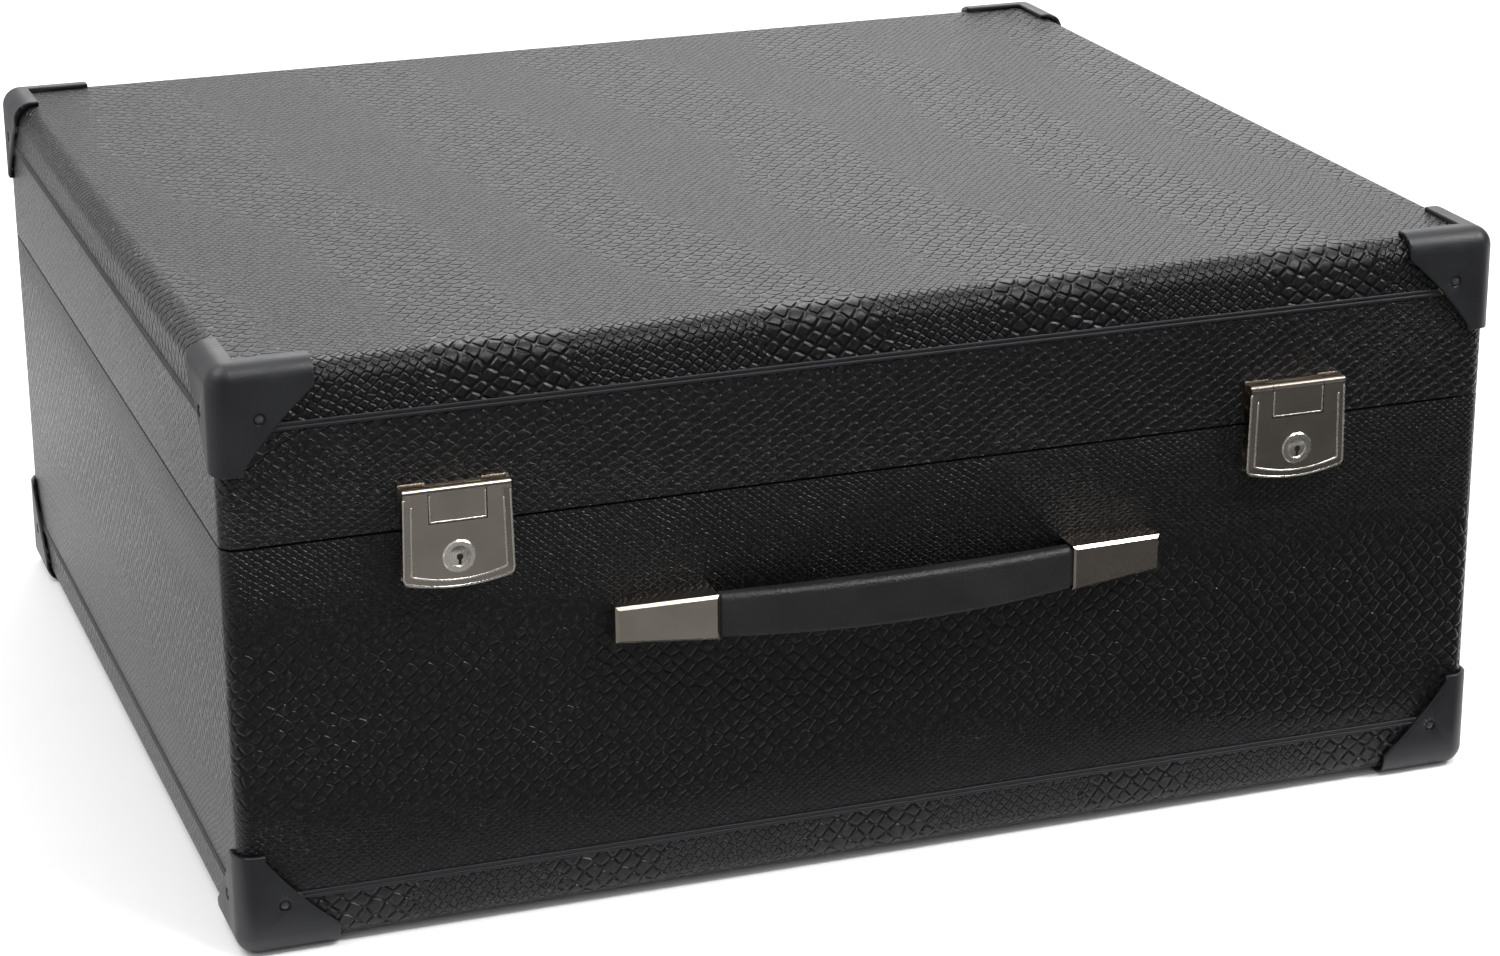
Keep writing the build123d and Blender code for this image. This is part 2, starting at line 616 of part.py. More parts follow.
def whole_grip():
    """Grip that swells towards its middle in plan and in height, with rounded long edges."""
    half = HANDLE_CAP_INNER - GRIP_SHOULDER_GAP
    back_end, back_middle = GRIP_END_PROUD - GRIP_END_THICK, HANDLE_PROUD - GRIP_THICK
    plan = bowed_face(half, GRIP_END_PROUD, HANDLE_PROUD, back_end, back_middle)
    body = plan_prism(plan, -GRIP_HEIGHT, GRIP_HEIGHT)
    end, middle = GRIP_END_HEIGHT / 2, GRIP_HEIGHT / 2
    front = bowed_face(half, end, middle, -end, -middle)
    plane = Plane(origin=handle_point(0, 0, 0), x_dir=(1, 0, 0), z_dir=(0, -1, 0))
    body &= extrude(plane * front, HANDLE_PROUD * 2)
    long_edges = [e for e in body.edges() if e.length > half]
    return fillet(long_edges, GRIP_ROUND)


def neck():
    """Thinner end of the grip that reaches into a cap."""
    start = HANDLE_CAP_INNER - GRIP_SHOULDER_GAP - NECK_ROOT
    end = HANDLE_CAP_INNER + NECK_TUCK
    slope = degrees(atan2(band_w(start) - band_w(end), end - start))
    bar = Box(end - start, NECK_THICK, NECK_HEIGHT, align=(Align.MIN, Align.CENTER, Align.CENTER))
    bar = fillet(bar.edges().filter_by(Axis.X), NECK_ROUND)
    return Pos(*handle_point(start, band_w(start), 0)) * Rot(0, 0, slope) * bar


def knuckle_axis(extra):
    """Round joint between the grip's middle and its right end."""
    foot = handle_point(LINK_HINGE, band_w(LINK_HINGE), -GRIP_HEIGHT)
    return rod(foot, (0, 0, 1), LINK_KNUCKLE + extra, GRIP_HEIGHT * 2)


def right_strip(grow):
    """The band's own bowed strip, thicker and taller by an ease where it is used as a cutter."""
    half, up = BAND_SHEET / 2 + grow, BAND_HEIGHT / 2 + grow
    end, middle = GRIP_END_PROUD - GRIP_END_THICK / 2, HANDLE_PROUD - GRIP_THICK / 2
    radius, centre = bow(HANDLE_CAP_INNER, end, middle)
    ring = Pos(0, centre) * (Circle(radius + half) - Circle(radius - half))
    strip = ring & rect(BAND_START - grow, 0, BAND_END, HANDLE_PROUD)
    return plan_prism(strip, -up, up)


def right_band():
    """Spring-steel band of the right end, slotted round its post."""
    reach = POST_RADIUS + POST_EASE
    far = POST_X + POST_SLIDE + reach
    slot = block(handle_point(POST_X - reach, HANDLE_PROUD, -reach), handle_point(far, 0, reach))
    return right_strip(0) - slot


def handle_cap():
    """Right-hand nickel cap: a wedge, thick and tall at its mouth, hollow and open to the covering."""
    def section(x, w, height, back):
        plane = Plane(origin=(x, FRONT, HANDLE_Z), x_dir=(0, -1, 0), z_dir=(1, 0, 0))
        return plane * rect(back, -height / 2, w, height / 2)
    inner_face = section(HANDLE_CAP_INNER, HANDLE_CAP_PROUD, HANDLE_CAP_HEIGHT, 0)
    outer_face = section(HANDLE_CAP_OUTER, HANDLE_CAP_END_PROUD, HANDLE_CAP_END_HEIGHT, 0)
    cap = loft([inner_face, outer_face])
    front = cap.faces().sort_by(Axis.Y)[0]
    cap = chamfer(front.edges(), HANDLE_CAP_BEVEL)
    wall = HANDLE_CAP_WALL
    fall = (HANDLE_CAP_PROUD - HANDLE_CAP_END_PROUD) / (HANDLE_CAP_OUTER - HANDLE_CAP_INNER)
    taper = (HANDLE_CAP_HEIGHT - HANDLE_CAP_END_HEIGHT) / (HANDLE_CAP_OUTER - HANDLE_CAP_INNER)
    start, end = HANDLE_CAP_INNER - 1, HANDLE_CAP_OUTER - wall
    def hollow(x):
        run = x - HANDLE_CAP_INNER
        return section(x, HANDLE_CAP_PROUD - fall * run - wall, HANDLE_CAP_HEIGHT - taper * run - 2 * wall, -1)
    return cap - loft([hollow(start), hollow(end)])


def handle_mount():
    """Right-hand plate under the cap with the post that the band runs on."""
    half = MOUNT_HEIGHT / 2
    corners = (handle_point(MOUNT_START, MOUNT_SHEET, -half), handle_point(MOUNT_END, 0, half))
    plate = block(*corners)
    plate += rod(handle_point(POST_X, 0, 0), (0, -1, 0), POST_RADIUS, POST_TOP)
    for x in HANDLE_RIVET_X:
        plate -= rod(handle_point(x, -1, 0), (0, -1, 0), HANDLE_RIVET + DRILL_EASE, MOUNT_SHEET + 2)
    return plate


def handle_rivet(x):
    return rivet(handle_point(x, 0, 0), (0, -1, 0), HANDLE_RIVET, MOUNT_SHEET, WALL + BACKING_SHEET)


def backing_plate(extra):
    """Plate inside the front board that takes a handle end's rivets."""
    half = MOUNT_HEIGHT / 2 + extra
    inside = WALL + BACKING_SHEET + extra
    plate = block(handle_point(MOUNT_START - extra, -WALL, -half), handle_point(MOUNT_END + extra, -inside, half))
    if not extra:
        for x in HANDLE_RIVET_X:
            plate -= rod(handle_point(x, 0, 0), (0, 1, 0), HANDLE_RIVET + DRILL_EASE, inside + 1)
    return plate


# Inside: lip, linings and pads

def wall_strips(inset, thick, low, high):
    """Front, back, left and right strips that line the inside, drawn in from the boards by an inset."""
    x, front, back = WIDTH / 2 - WALL - inset, FRONT + WALL + inset, BACK - WALL - inset
    front_strip = block((-x, front, low), (x, front + thick, high))
    back_strip = block((-x, back - thick, low), (x, back, high))
    left = block((-x, front + thick, low), (thick - x, back - thick, high))
    return [front_strip, back_strip, left, mirrored_x(left)]


def pad(inset, low, high, round_top):
    """A flat cushion that fills the inside, with its free edges rounded."""
    x, front, back = WIDTH / 2 - WALL - inset, FRONT + WALL + inset, BACK - WALL - inset
    cushion = block((-x, front, low), (x, back, high))
    rims = cushion.faces().sort_by(Axis.Z)
    rim = rims[-1] if round_top else rims[0]
    return fillet(rim.edges(), PAD_EDGE)


def build_corners():
    """Eight caps, their tacks, and the tacks' holes, for the base (False) and the lid (True)."""
    form = case_form(0)
    cap = corner_cap()
    reach = cap_reach(WELT_END_GAP)
    out = {}
    for top in (False, True):
        caps, tacks, holes, reaches = {}, [], [], []
        for back in (False, True):
            for right in (False, True):
                place = corner_frame(right, back, top)
                name = f"{'back' if back else 'front'}_{'right' if right else 'left'}"
                caps[name] = place(cap) - form
                reaches.append(place(reach))
                tacks += [place(tack(*spot)) for spot in tack_spots()]
                holes += [place(tack_hole(*spot)) for spot in tack_spots()]
        out[top] = (caps, tacks, holes, reaches)
    return out


def main():
    corners = build_corners()
    form, wood = case_form(0), case_form(SKIN)
    latch_xs, hinge_xs, foot_xs = (pair(d) for d in (LATCH_FROM_SIDE, HINGE_FROM_SIDE, FOOT_FROM_SIDE))
    parting_low, parting_high = PARTING - PARTING_GAP / 2, PARTING + PARTING_GAP / 2

    # Fasteners and the holes that they need
    cuts = {}
    for top, side in ((False, -1), (True, 1)):
        word = "lid" if top else "base"
        caps, tacks, tack_holes, reaches = corners[top]
        for name, shape in caps.items():
            keep(f"{word}_corner_{name}", shape)
        foot_z = TOP - FOOT_FROM_EDGE if top else BOTTOM + FOOT_FROM_EDGE
        tacks = tacks + [foot_tack(x, foot_z) for x in foot_xs]
        tack_holes = tack_holes + [tack_hole((x, BACK, foot_z), (0, 1, 0)) for x in foot_xs]
        keep(f"{word}_tacks", *tacks)
        keep(f"{word}_rear_feet", *[rear_foot(x, foot_z) for x in foot_xs])
        made, drilled = [], []
        for x in hinge_xs:
            for spot, way in hinge_rivets(x, side):
                made.append(rivet(spot, way, HINGE_RIVET, HINGE_SHEET, BOARD))
                drilled.append(rivet_hole(spot, way, HINGE_RIVET, HINGE_SHEET, BOARD))
        for x in latch_xs:
            for spot, way in latch_rivet_spots(top):
                made.append(Pos(x, 0, 0) * rivet(spot, way, LATCH_RIVET, PLATE_SHEET, BOARD))
                drilled.append(Pos(x, 0, 0) * rivet_hole(spot, way, LATCH_RIVET, PLATE_SHEET, BOARD))
        if not top:
            for x in HANDLE_RIVET_X:
                made += [handle_rivet(x), mirrored_x(handle_rivet(x))]
        keep(f"{word}_rivets", *made)
        cuts[top] = drilled + tack_holes
    for x in HANDLE_RIVET_X:
        hole = rod(handle_point(x, 0, 0), (0, 1, 0), HANDLE_RIVET + DRILL_EASE, WALL + 1)
        cuts[False] += [hole, mirrored_x(hole)]
    pockets = [Pos(x, 0, 0) * pan_pocket() for x in latch_xs]
    cuts[False] += pockets

    # Plywood
    low = boards(wood, BOTTOM + WALL, parting_low, BOTTOM, BOTTOM + WALL)
    high = boards(wood, parting_high, TOP - WALL, TOP - WALL, TOP)
    for word, panel_word, parts, top in (("base", "bottom", low, False), ("lid", "top", high, True)):
        front, back, sides, panel = parts
        keep(f"{word}_front_board", front - cuts[top])
        keep(f"{word}_back_board", back - cuts[top])
        keep(f"{word}_side_boards", *[side - cuts[top] for side in sides])
        keep(f"{word}_{panel_word}_panel", panel)

    # Covering and welts
    skin = form - wood
    half = WELT_WIDTH / 2
    keep("base_bottom_covering", band(skin, 0, BOTTOM_WELT - half) - cuts[False])
    keep("base_wall_covering", band(skin, BOTTOM_WELT + half, parting_low) - cuts[False])
    keep("lid_wall_covering", band(skin, parting_high, TOP_WELT - half) - cuts[True])
    keep("lid_top_covering", band(skin, TOP_WELT + half, BIG) - cuts[True])
    keep("base_welt", welt(BOTTOM_WELT, corners[False][3]))
    keep("lid_welt", welt(TOP_WELT, corners[True][3]))

    # Inside
    lip = wall_strips(LIP_CLEARANCE, LIP_SHEET, PARTING - LIP_DEPTH, PARTING + LIP_RISE)
    keep("closing_lip", *lip)
    floor = BOTTOM + WALL
    keep("base_floor_pad", pad(PAD_GAP, floor, floor + FLOOR_PAD, True))
    low_lining = wall_strips(0, LINING, floor + FLOOR_PAD + PAD_GAP, PARTING - LIP_DEPTH - PAD_GAP)
    plates = [backing_plate(PAD_GAP), mirrored_x(backing_plate(PAD_GAP))]
    keep("base_wall_lining", *[strip - plates for strip in low_lining])
    ceiling = TOP - WALL
    keep("lid_top_pad", pad(PAD_GAP, ceiling - TOP_PAD, ceiling, False))
    high_lining = wall_strips(0, LINING, PARTING + LIP_RISE + PAD_GAP * 2, ceiling - TOP_PAD - PAD_GAP)
    keep("lid_wall_lining", *high_lining)

    # Hinges
    pins = []
    for word, x in zip(("left", "right"), hinge_xs):
        keep(f"{word}_hinge_base_leaf", hinge_leaf(x, -1))
        keep(f"{word}_hinge_lid_leaf", hinge_leaf(x, 1))
        pins.append(rod((x - HINGE_LENGTH / 2, HINGE_Y, PARTING), (1, 0, 0), HINGE_PIN, HINGE_LENGTH))
    keep("hinge_pins", *pins)

    # Latches
    latch_pins = []
    edge = FLAP_TOP_WIDTH / 2
    pieces = {
        "latch_flap": latch_flap(),
        "latch_lid_plate": lid_plate(),
        "latch_base_plate": base_plate(),
        "latch_keeper": keeper_pan(),
        "lock_barrel": lock_barrel(),
        "lock_cylinder": lock_cylinder(),
    }
    for word, x in zip(("left", "right"), latch_xs):
        for name, shape in pieces.items():
            keep(f"{word}_{name}", Pos(x, 0, 0) * shape)
        latch_pins.append(Pos(x, 0, 0) * latch_roll(-edge, edge, LATCH_PIN))
    keep("latch_pins", *latch_pins)

    # Handle
    grip = whole_grip()
    hinge_x = LINK_HINGE
    joint = knuckle_axis(0)
    reach = BIG
    core = block((-hinge_x, -reach, -reach), (hinge_x, reach, reach))
    keep("handle_grip_middle", grip & (core + joint + mirrored_x(joint)))
    beyond = block((hinge_x + LINK_RELIEF, -reach, -reach), (reach, reach, reach))
    steel = right_band()
    end = (grip & beyond) + neck() - knuckle_axis(LINK_GAP) - right_strip(BAND_EASE)
    for word, side in (("right", lambda s: s), ("left", mirrored_x)):
        keep(f"{word}_handle_grip_end", side(end))
        keep(f"{word}_handle_band", side(steel))
        keep(f"{word}_handle_cap", side(handle_cap()))
    keep("handle_mounts", handle_mount(), mirrored_x(handle_mount()))
    keep("handle_backing_plates", backing_plate(0), mirrored_x(backing_plate(0)))
    report_handle()
    print(len(written), "nodes")


def report_handle():
    """Prints how far each end of the grip turns when the handle is lifted, for the joint's coupling."""
    run = HANDLE_CAP_INNER - LINK_HINGE
    drop = band_w(LINK_HINGE) - band_w(HANDLE_CAP_INNER)
    length = hypot(run, drop)
    turn = asin((drop + HANDLE_LIFT) / length) - asin(drop / length)
    print("bend at x", LINK_HINGE, "y", FRONT - band_w(LINK_HINGE))
    print("turn", degrees(turn), "degrees,", turn / HANDLE_LIFT * 1000, "rad per m")


main()
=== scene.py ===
# %% [markdown]
# # An accordion case, dressed over its CAD frame
# The CAD model gives every piece its real place and size. This lesson loads it, swaps the plain
# coverings, welts, pads and grip for worked surfaces, softens the corner caps, draws the fine
# lines of the latches, and gives each surface a finish made of nodes.

# %% Load the frame
import bpy
import bmesh
import numpy as np
from math import cos, pi, radians, sin
from mathutils import Matrix, Vector
from mathutils.kdtree import KDTree


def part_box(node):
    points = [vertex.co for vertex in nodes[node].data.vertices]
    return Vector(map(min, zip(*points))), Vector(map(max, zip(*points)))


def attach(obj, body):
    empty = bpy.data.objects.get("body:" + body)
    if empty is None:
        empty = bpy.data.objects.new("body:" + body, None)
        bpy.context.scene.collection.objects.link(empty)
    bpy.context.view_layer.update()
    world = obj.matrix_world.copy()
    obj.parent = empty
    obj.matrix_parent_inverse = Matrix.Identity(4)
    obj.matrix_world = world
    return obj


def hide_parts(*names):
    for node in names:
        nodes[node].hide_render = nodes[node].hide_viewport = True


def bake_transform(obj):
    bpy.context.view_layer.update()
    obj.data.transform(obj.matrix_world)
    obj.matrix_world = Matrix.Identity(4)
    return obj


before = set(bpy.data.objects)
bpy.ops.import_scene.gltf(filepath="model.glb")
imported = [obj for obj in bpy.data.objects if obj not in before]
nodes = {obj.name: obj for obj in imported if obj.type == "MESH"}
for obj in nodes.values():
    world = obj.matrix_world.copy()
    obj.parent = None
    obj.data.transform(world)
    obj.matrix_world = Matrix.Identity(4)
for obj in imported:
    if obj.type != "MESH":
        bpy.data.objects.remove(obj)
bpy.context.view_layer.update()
MM = 0.001

# %% [markdown]
# ## Sizes that the surfaces share
# The covered box is the same rounded box as in CAD. Its edges come from the nodes' own boxes where
# a node has them, and the few radii are repeated here, in metres.

# %% Sizes
wall_low, wall_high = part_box("base_wall_covering")
HALF_X = (wall_high.x - wall_low.x) / 2
HALF_Y = (wall_high.y - wall_low.y) / 2
MIDDLE_Y = (wall_high.y + wall_low.y) / 2
FRONT, BACK = wall_low.y, wall_high.y
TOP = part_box("lid_top_covering")[1].z
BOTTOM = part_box("base_bottom_covering")[0].z
PARTING = (wall_high.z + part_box("lid_wall_covering")[0].z) / 2
LID_WELT = sum(c.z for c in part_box("lid_welt")) / 2
BASE_WELT = sum(c.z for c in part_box("base_welt")) / 2
UPRIGHT_RADIUS, TOP_RADIUS, BOTTOM_RADIUS = 7 * MM, 10 * MM, 8 * MM
SKIN = 1 * MM                                 # thickness of the leatherette
WELT_HALF = 1.7 * MM                          # half a welt's width
LATCH_X = {"left": -0.186, "right": 0.186}    # middles of the latches
print("front", FRONT, "back", BACK, "top", TOP, "parting", PARTING)
print("welts", LID_WELT, BASE_WELT)

# %% [markdown]
# ## From arrays to meshes
# Every new piece is a grid of points, P[i, j], which is a function of two parameters. Neighbouring
# points are joined by four-sided faces. Where a seam or a pole repeats a point, the repeats are
# merged, so the surface is closed, and then its faces are turned outwards.


# %% Grid to mesh
def grid_piece(name, grids):
    """Makes one mesh of one or more grids.

    Each entry is (P, UV): P[i, j] is a point in metres, UV[i, j] its place on the flat sheet.
    The face between i, i + 1 and j, j + 1 has those four points as its corners.
    """
    points, faces, uvs, start = [], [], [], 0
    for P, UV in grids:
        m, n = P.shape[:2]
        index = np.arange(m * n).reshape(m, n) + start
        quad = [index[:-1, :-1], index[1:, :-1], index[1:, 1:], index[:-1, 1:]]
        points.append(P.reshape(-1, 3))
        faces.append(np.stack(quad, -1).reshape(-1, 4))
        uvs.append(UV.reshape(-1, 2))
        start += m * n
    points, faces, uvs = np.concatenate(points), np.concatenate(faces), np.concatenate(uvs)
    mesh = bpy.data.meshes.new(name)
    mesh.from_pydata(points.tolist(), [], faces.tolist())
    layer = mesh.uv_layers.new(name="Sheet")
    layer.data.foreach_set("uv", uvs[faces.reshape(-1)].astype(np.float32).reshape(-1))
    return close_mesh(name, mesh)


def plain(P):
    """A grid whose finish is read in space, so it needs no place on a sheet."""
    return P, np.zeros(P.shape[:2] + (2,))


def fan(row):
    """A grid that closes a ring of points: the ring and, repeated, its middle."""
    return np.stack([np.broadcast_to(row.mean(0), row.shape), row])


def put(name, data):
    """Adds an object with its data to the scene."""
    thing = bpy.data.objects.new(name, data)
    bpy.context.scene.collection.objects.link(thing)
    return thing


# %% Closing and finishing a piece
def close_mesh(name, mesh, merge=2e-6):
    """Merges repeated points, drops faces without area and turns the rest outwards."""
    work = bmesh.new()
    work.from_mesh(mesh)
    bmesh.ops.remove_doubles(work, verts=work.verts, dist=merge)
    bmesh.ops.dissolve_degenerate(work, edges=work.edges, dist=merge)
    bmesh.ops.recalc_face_normals(work, faces=work.faces)
    open_edges = sum(1 for e in work.edges if len(e.link_faces) != 2)
    work.to_mesh(mesh)
    work.free()
    mesh.polygons.foreach_set("use_smooth", [True] * len(mesh.polygons))
    mesh.set_sharp_from_angle(angle=radians(40))
    print(name, "faces", len(mesh.polygons), "open edges", open_edges)
    return put(name, mesh)


def finish_piece(piece, body, slot, finish, *stands_for):
    """Gives a piece its finish and the CAD body that it moves with; slot is not used."""
    piece.data.materials.clear()
    piece.data.materials.append(finish)
    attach(piece, body)
    if stands_for:
        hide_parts(*stands_for)
    return piece


# %% [markdown]
# ## Shader helpers
# A finish is a small network of nodes. These helpers add a node, set its inputs and wire it, so
# that each finish below reads as a list of steps. Each takes the material, or the world, first.


# %% Adding and wiring nodes
def new_finish(name, **values):
    """A material with a Principled shader whose plain values are set on its own sockets."""
    finish = bpy.data.materials.new(name)
    finish.use_nodes = True
    shader = finish.node_tree.nodes["Principled BSDF"]
    for key, value in values.items():
        shader.inputs[key.replace("_", " ")].default_value = value
    return finish, shader


def wire(finish, target, source):
    """Wires a socket to an input, or writes a plain value there."""
    if isinstance(source, bpy.types.NodeSocket):
        finish.node_tree.links.new(target, source)
    else:
        target.default_value = source


def add(finish, kind, *inputs, out=0, **settings):
    """Adds a node of a kind, sets its options, wires its inputs in order and returns an output."""
    node = finish.node_tree.nodes.new(kind)
    for key, value in settings.items():
        setattr(node, key, value)
    for target, source in zip([s for s in node.inputs if s.enabled], inputs):
        wire(finish, target, source)
    return node.outputs[out]


def maths(finish, operation, *inputs):
    """One step of arithmetic."""
    return add(finish, "ShaderNodeMath", *inputs, operation=operation)


def vectors(finish, operation, *inputs):
    """One step of vector arithmetic; a dot product or a length comes out as a number."""
    out = 1 if operation in ("DOT_PRODUCT", "LENGTH") else 0
    return add(finish, "ShaderNodeVectorMath", *inputs, operation=operation, out=out)


# %% Colours, ramps and patterns
def mix_colour(finish, share, first, second):
    """first where share is 0, second where it is 1."""
    node = finish.node_tree.nodes.new("ShaderNodeMix")
    node.data_type = "RGBA"
    wire(finish, node.inputs["Factor"], share)
    wire(finish, node.inputs["A"], first)
    wire(finish, node.inputs["B"], second)
    return node.outputs["Result"]


def ramp(finish, value, low, high, to_low=0.0, to_high=1.0, kind="SMOOTHSTEP"):
    """Smooth step from low to high: 3t^2 - 2t^3, or t for the kind LINEAR.

    t = (value - low) / (high - low), kept in 0 to 1.
    """
    node = finish.node_tree.nodes.new("ShaderNodeMapRange")
    node.interpolation_type = kind
    limits = {"From Min": low, "From Max": high, "To Min": to_low, "To Max": to_high}
    for key, number in limits.items():
        node.inputs[key].default_value = number
    wire(finish, node.inputs["Value"], value)
    return node.outputs["Result"]


def noise(finish, where, scale, detail=2.0, rough=0.5):
    """Soft noise in 0 to 1, read at a place."""
    node = finish.node_tree.nodes.new("ShaderNodeTexNoise")
    wire(finish, node.inputs["Vector"], where)
    node.inputs["Scale"].default_value = scale
    node.inputs["Detail"].default_value = detail
    node.inputs["Roughness"].default_value = rough
    return node.outputs["Fac"]


def stretch(finish, where, scale=(1, 1, 1), turn=0, shift=(0, 0, 0)):
    """Stretches the place that a pattern is read at, turns it in its plane and moves it."""
    node = finish.node_tree.nodes.new("ShaderNodeMapping")
    wire(finish, node.inputs["Vector"], where)
    node.inputs["Location"].default_value = shift
    node.inputs["Rotation"].default_value = (0, 0, radians(turn))
    node.inputs["Scale"].default_value = scale
    return node.outputs["Vector"]


def place(finish, output="Object"):
    """The point in metres in the object's own frame, or on its sheet for the output UV."""
    out = ("Generated", "Normal", "UV", "Object").index(output)
    return add(finish, "ShaderNodeTexCoord", out=out)


def bump(finish, shader, height, depth):
    """Tilts the shading normal by a height field of a depth in metres."""
    node = finish.node_tree.nodes.new("ShaderNodeBump")
    node.inputs["Strength"].default_value = 1.0
    node.inputs["Distance"].default_value = depth
    wire(finish, node.inputs["Height"], height)
    wire(finish, shader.inputs["Normal"], node.outputs["Normal"])


# %% [markdown]
# ## Scale-grained leatherette
# The cloth-backed covering is embossed with rows of rhombic scales. Bands of large scales run
# through bands of small ones. A picture of it could be wrapped on, but a pattern from the sheet's
# own coordinates stays sharp and follows the folded edges. One lattice gives one size of scale:
# the place is stretched, turned by an eighth of a turn and read by a Voronoi texture, whose cells
# are then diamonds. Two lattices are mixed by a wavy mask.


# %% Scales
def scales(finish, sheet, size, lean, lip):
    """Height in 0 to 1 of one lattice of scales, and the distance to the nearest groove.

    size is (length, width, randomness), where length and width are a scale's diagonals in metres.
    Each scale climbs towards lean, height = rise * round * (0.7 + 0.6 tilt), and drops off at its
    end, as if it lay over the next one. rise falls over the lip, a share of the cell, to the
    grooves; round falls off from the scale's middle and leaves a pit where corners meet.
    """
    length, width, random = size
    flat = stretch(finish, sheet, (2 ** 0.5 / length, 2 ** 0.5 / width, 1))
    turned = stretch(finish, flat, turn=45)
    groove = finish.node_tree.nodes.new("ShaderNodeTexVoronoi")
    cell = finish.node_tree.nodes.new("ShaderNodeTexVoronoi")
    for node in (groove, cell):
        node.voronoi_dimensions = "2D"
        node.inputs["Scale"].default_value = 1.0
        node.inputs["Randomness"].default_value = random
        wire(finish, node.inputs["Vector"], turned)
    groove.feature = "DISTANCE_TO_EDGE"
    edge, off_middle = groove.outputs["Distance"], cell.outputs["Distance"]
    offset = vectors(finish, "SUBTRACT", turned, cell.outputs["Position"])
    tilt = vectors(finish, "DOT_PRODUCT", offset, lean)
    rounding = ramp(finish, off_middle, 0.68, 0.40)
    rise = maths(finish, "MULTIPLY", ramp(finish, edge, 0.0, lip), rounding)
    slope = maths(finish, "ADD", maths(finish, "MULTIPLY", tilt, 0.6), 0.7)
    return maths(finish, "MULTIPLY", rise, slope), edge


# %% Bands and wandering rows
def band_mask(finish, sheet, period, phase, share, wander):
    """1 in the bands of large scales and 0 between them, with ragged edges.

    The mask is a smooth step of sin(2 pi (a + wander * wave) / period + phase) + ragged, from
    -share to 1 - share, where a is the place across the bands and wave and ragged are noise.
    """
    wave = noise(finish, sheet, 5.0, 1.5)
    across = add(finish, "ShaderNodeSeparateXYZ", sheet)
    angle = maths(finish, "ADD", across, maths(finish, "MULTIPLY", wave, wander))
    angle = maths(finish, "ADD", maths(finish, "MULTIPLY", angle, 2 * pi / period), phase)
    ragged = noise(finish, sheet, 60.0, 3.0, 0.6)
    bands = maths(finish, "ADD", maths(finish, "SINE", angle), ragged)
    return ramp(finish, bands, -share, 1.0 - share)


def wandering(finish, sheet, reach):
    """The place moved by noise, so that rows of scales wander: p + reach * (noise - 0.5)."""
    swirl = add(finish, "ShaderNodeTexNoise", sheet, out=1)
    swirl.node.inputs["Scale"].default_value = 18.0
    off = vectors(finish, "SUBTRACT", swirl, (0.5, 0.5, 0.5))
    off = vectors(finish, "MULTIPLY", off, (reach, reach, 0))
    return vectors(finish, "ADD", sheet, off)


# %% Leatherette
# Painted shade: the grooves between the scales take this dark colour, with no light specks.
GROOVE_SHADE = (0.002, 0.002, 0.002, 1)
DARK_INK, LIGHT_INK = (0.002, 0.002, 0.0025, 1), (0.020, 0.017, 0.017, 1)


def leatherette(name, shift, turn, bands, big, small, lean, lip, depth):
    """Black embossed covering.

    shift and turn (degrees) place the print on the sheet. bands is (period, phase, share of large
    scales, wander) for band_mask. big and small are the two sizes of scale, and lean and lip their
    form, for scales. depth is the embossing's height in metres. Small scales are lower, in the
    ratio of the lengths. The grooves are painted darker, as painted shade in the creases, and are
    glossier than the scales' backs.
    """
    finish, shader = new_finish(name, Specular_IOR_Level=0.36, IOR=1.5)
    sheet = stretch(finish, place(finish, "UV"), turn=turn, shift=shift)
    mask = band_mask(finish, sheet, *bands)
    bent = wandering(finish, sheet, 8 * MM)
    large, large_edge = scales(finish, bent, big, lean, lip)
    fine, fine_edge = scales(finish, bent, small, lean, lip)
    lower = maths(finish, "MULTIPLY", fine, small[0] / big[0] + 0.1)
    height = add(finish, "ShaderNodeMix", mask, lower, large)
    edge = add(finish, "ShaderNodeMix", mask, fine_edge, large_edge)
    grain = maths(finish, "MULTIPLY", noise(finish, sheet, 1100.0, 3.0, 0.6), 0.07)
    bump(finish, shader, maths(finish, "ADD", height, grain), depth)
    speck = noise(finish, sheet, 420.0, 2.0, 0.8)
    ink = mix_colour(finish, ramp(finish, speck, 0.45, 0.8), DARK_INK, LIGHT_INK)
    # Painted shade in the grooves: near a groove the colour turns to the groove colour.
    colour = mix_colour(finish, ramp(finish, edge, 0.0, 0.14), GROOVE_SHADE, ink)
    wire(finish, shader.inputs["Base Color"], colour)
    dull = ramp(finish, edge, 0.04, 0.30, 0.27, 0.36)
    dull = maths(finish, "ADD", dull, ramp(finish, speck, 0.3, 0.8, 0.08, -0.04))
    wire(finish, shader.inputs["Roughness"], dull)
    return finish


# %% The four coverings
FORWARDS, UPWARDS = (0.7, -0.7, 0), (1.0, 0.1, 0)     # on a folded sheet; on a wall's band
covering_top = leatherette(
    "covering_lid_top", shift=(0.043, 0, 0), turn=-8, bands=(0.118, 0.6, 0.1, 0.10),
    big=(8.6 * MM, 7.4 * MM, 0.32), small=(5.0 * MM, 4.5 * MM, 0.30),
    lean=FORWARDS, lip=0.22, depth=1.7 * MM)
covering_lid = leatherette(
    "covering_lid_wall", shift=(0.11, 0.27, 0), turn=6, bands=(0.30, 2.4, -0.6, 0.10),
    big=(5.2 * MM, 7.0 * MM, 0.22), small=(3.6 * MM, 5.2 * MM, 0.18),
    lean=UPWARDS, lip=0.13, depth=1.7 * MM)
covering_base = leatherette(
    "covering_base_wall", shift=(0, 0.11, 0), turn=3, bands=(0.19, -0.9, -0.2, 0.08),
    big=(7.4 * MM, 7.6 * MM, 0.40), small=(2.9 * MM, 3.9 * MM, 0.25),
    lean=UPWARDS, lip=0.19, depth=0.6 * MM)
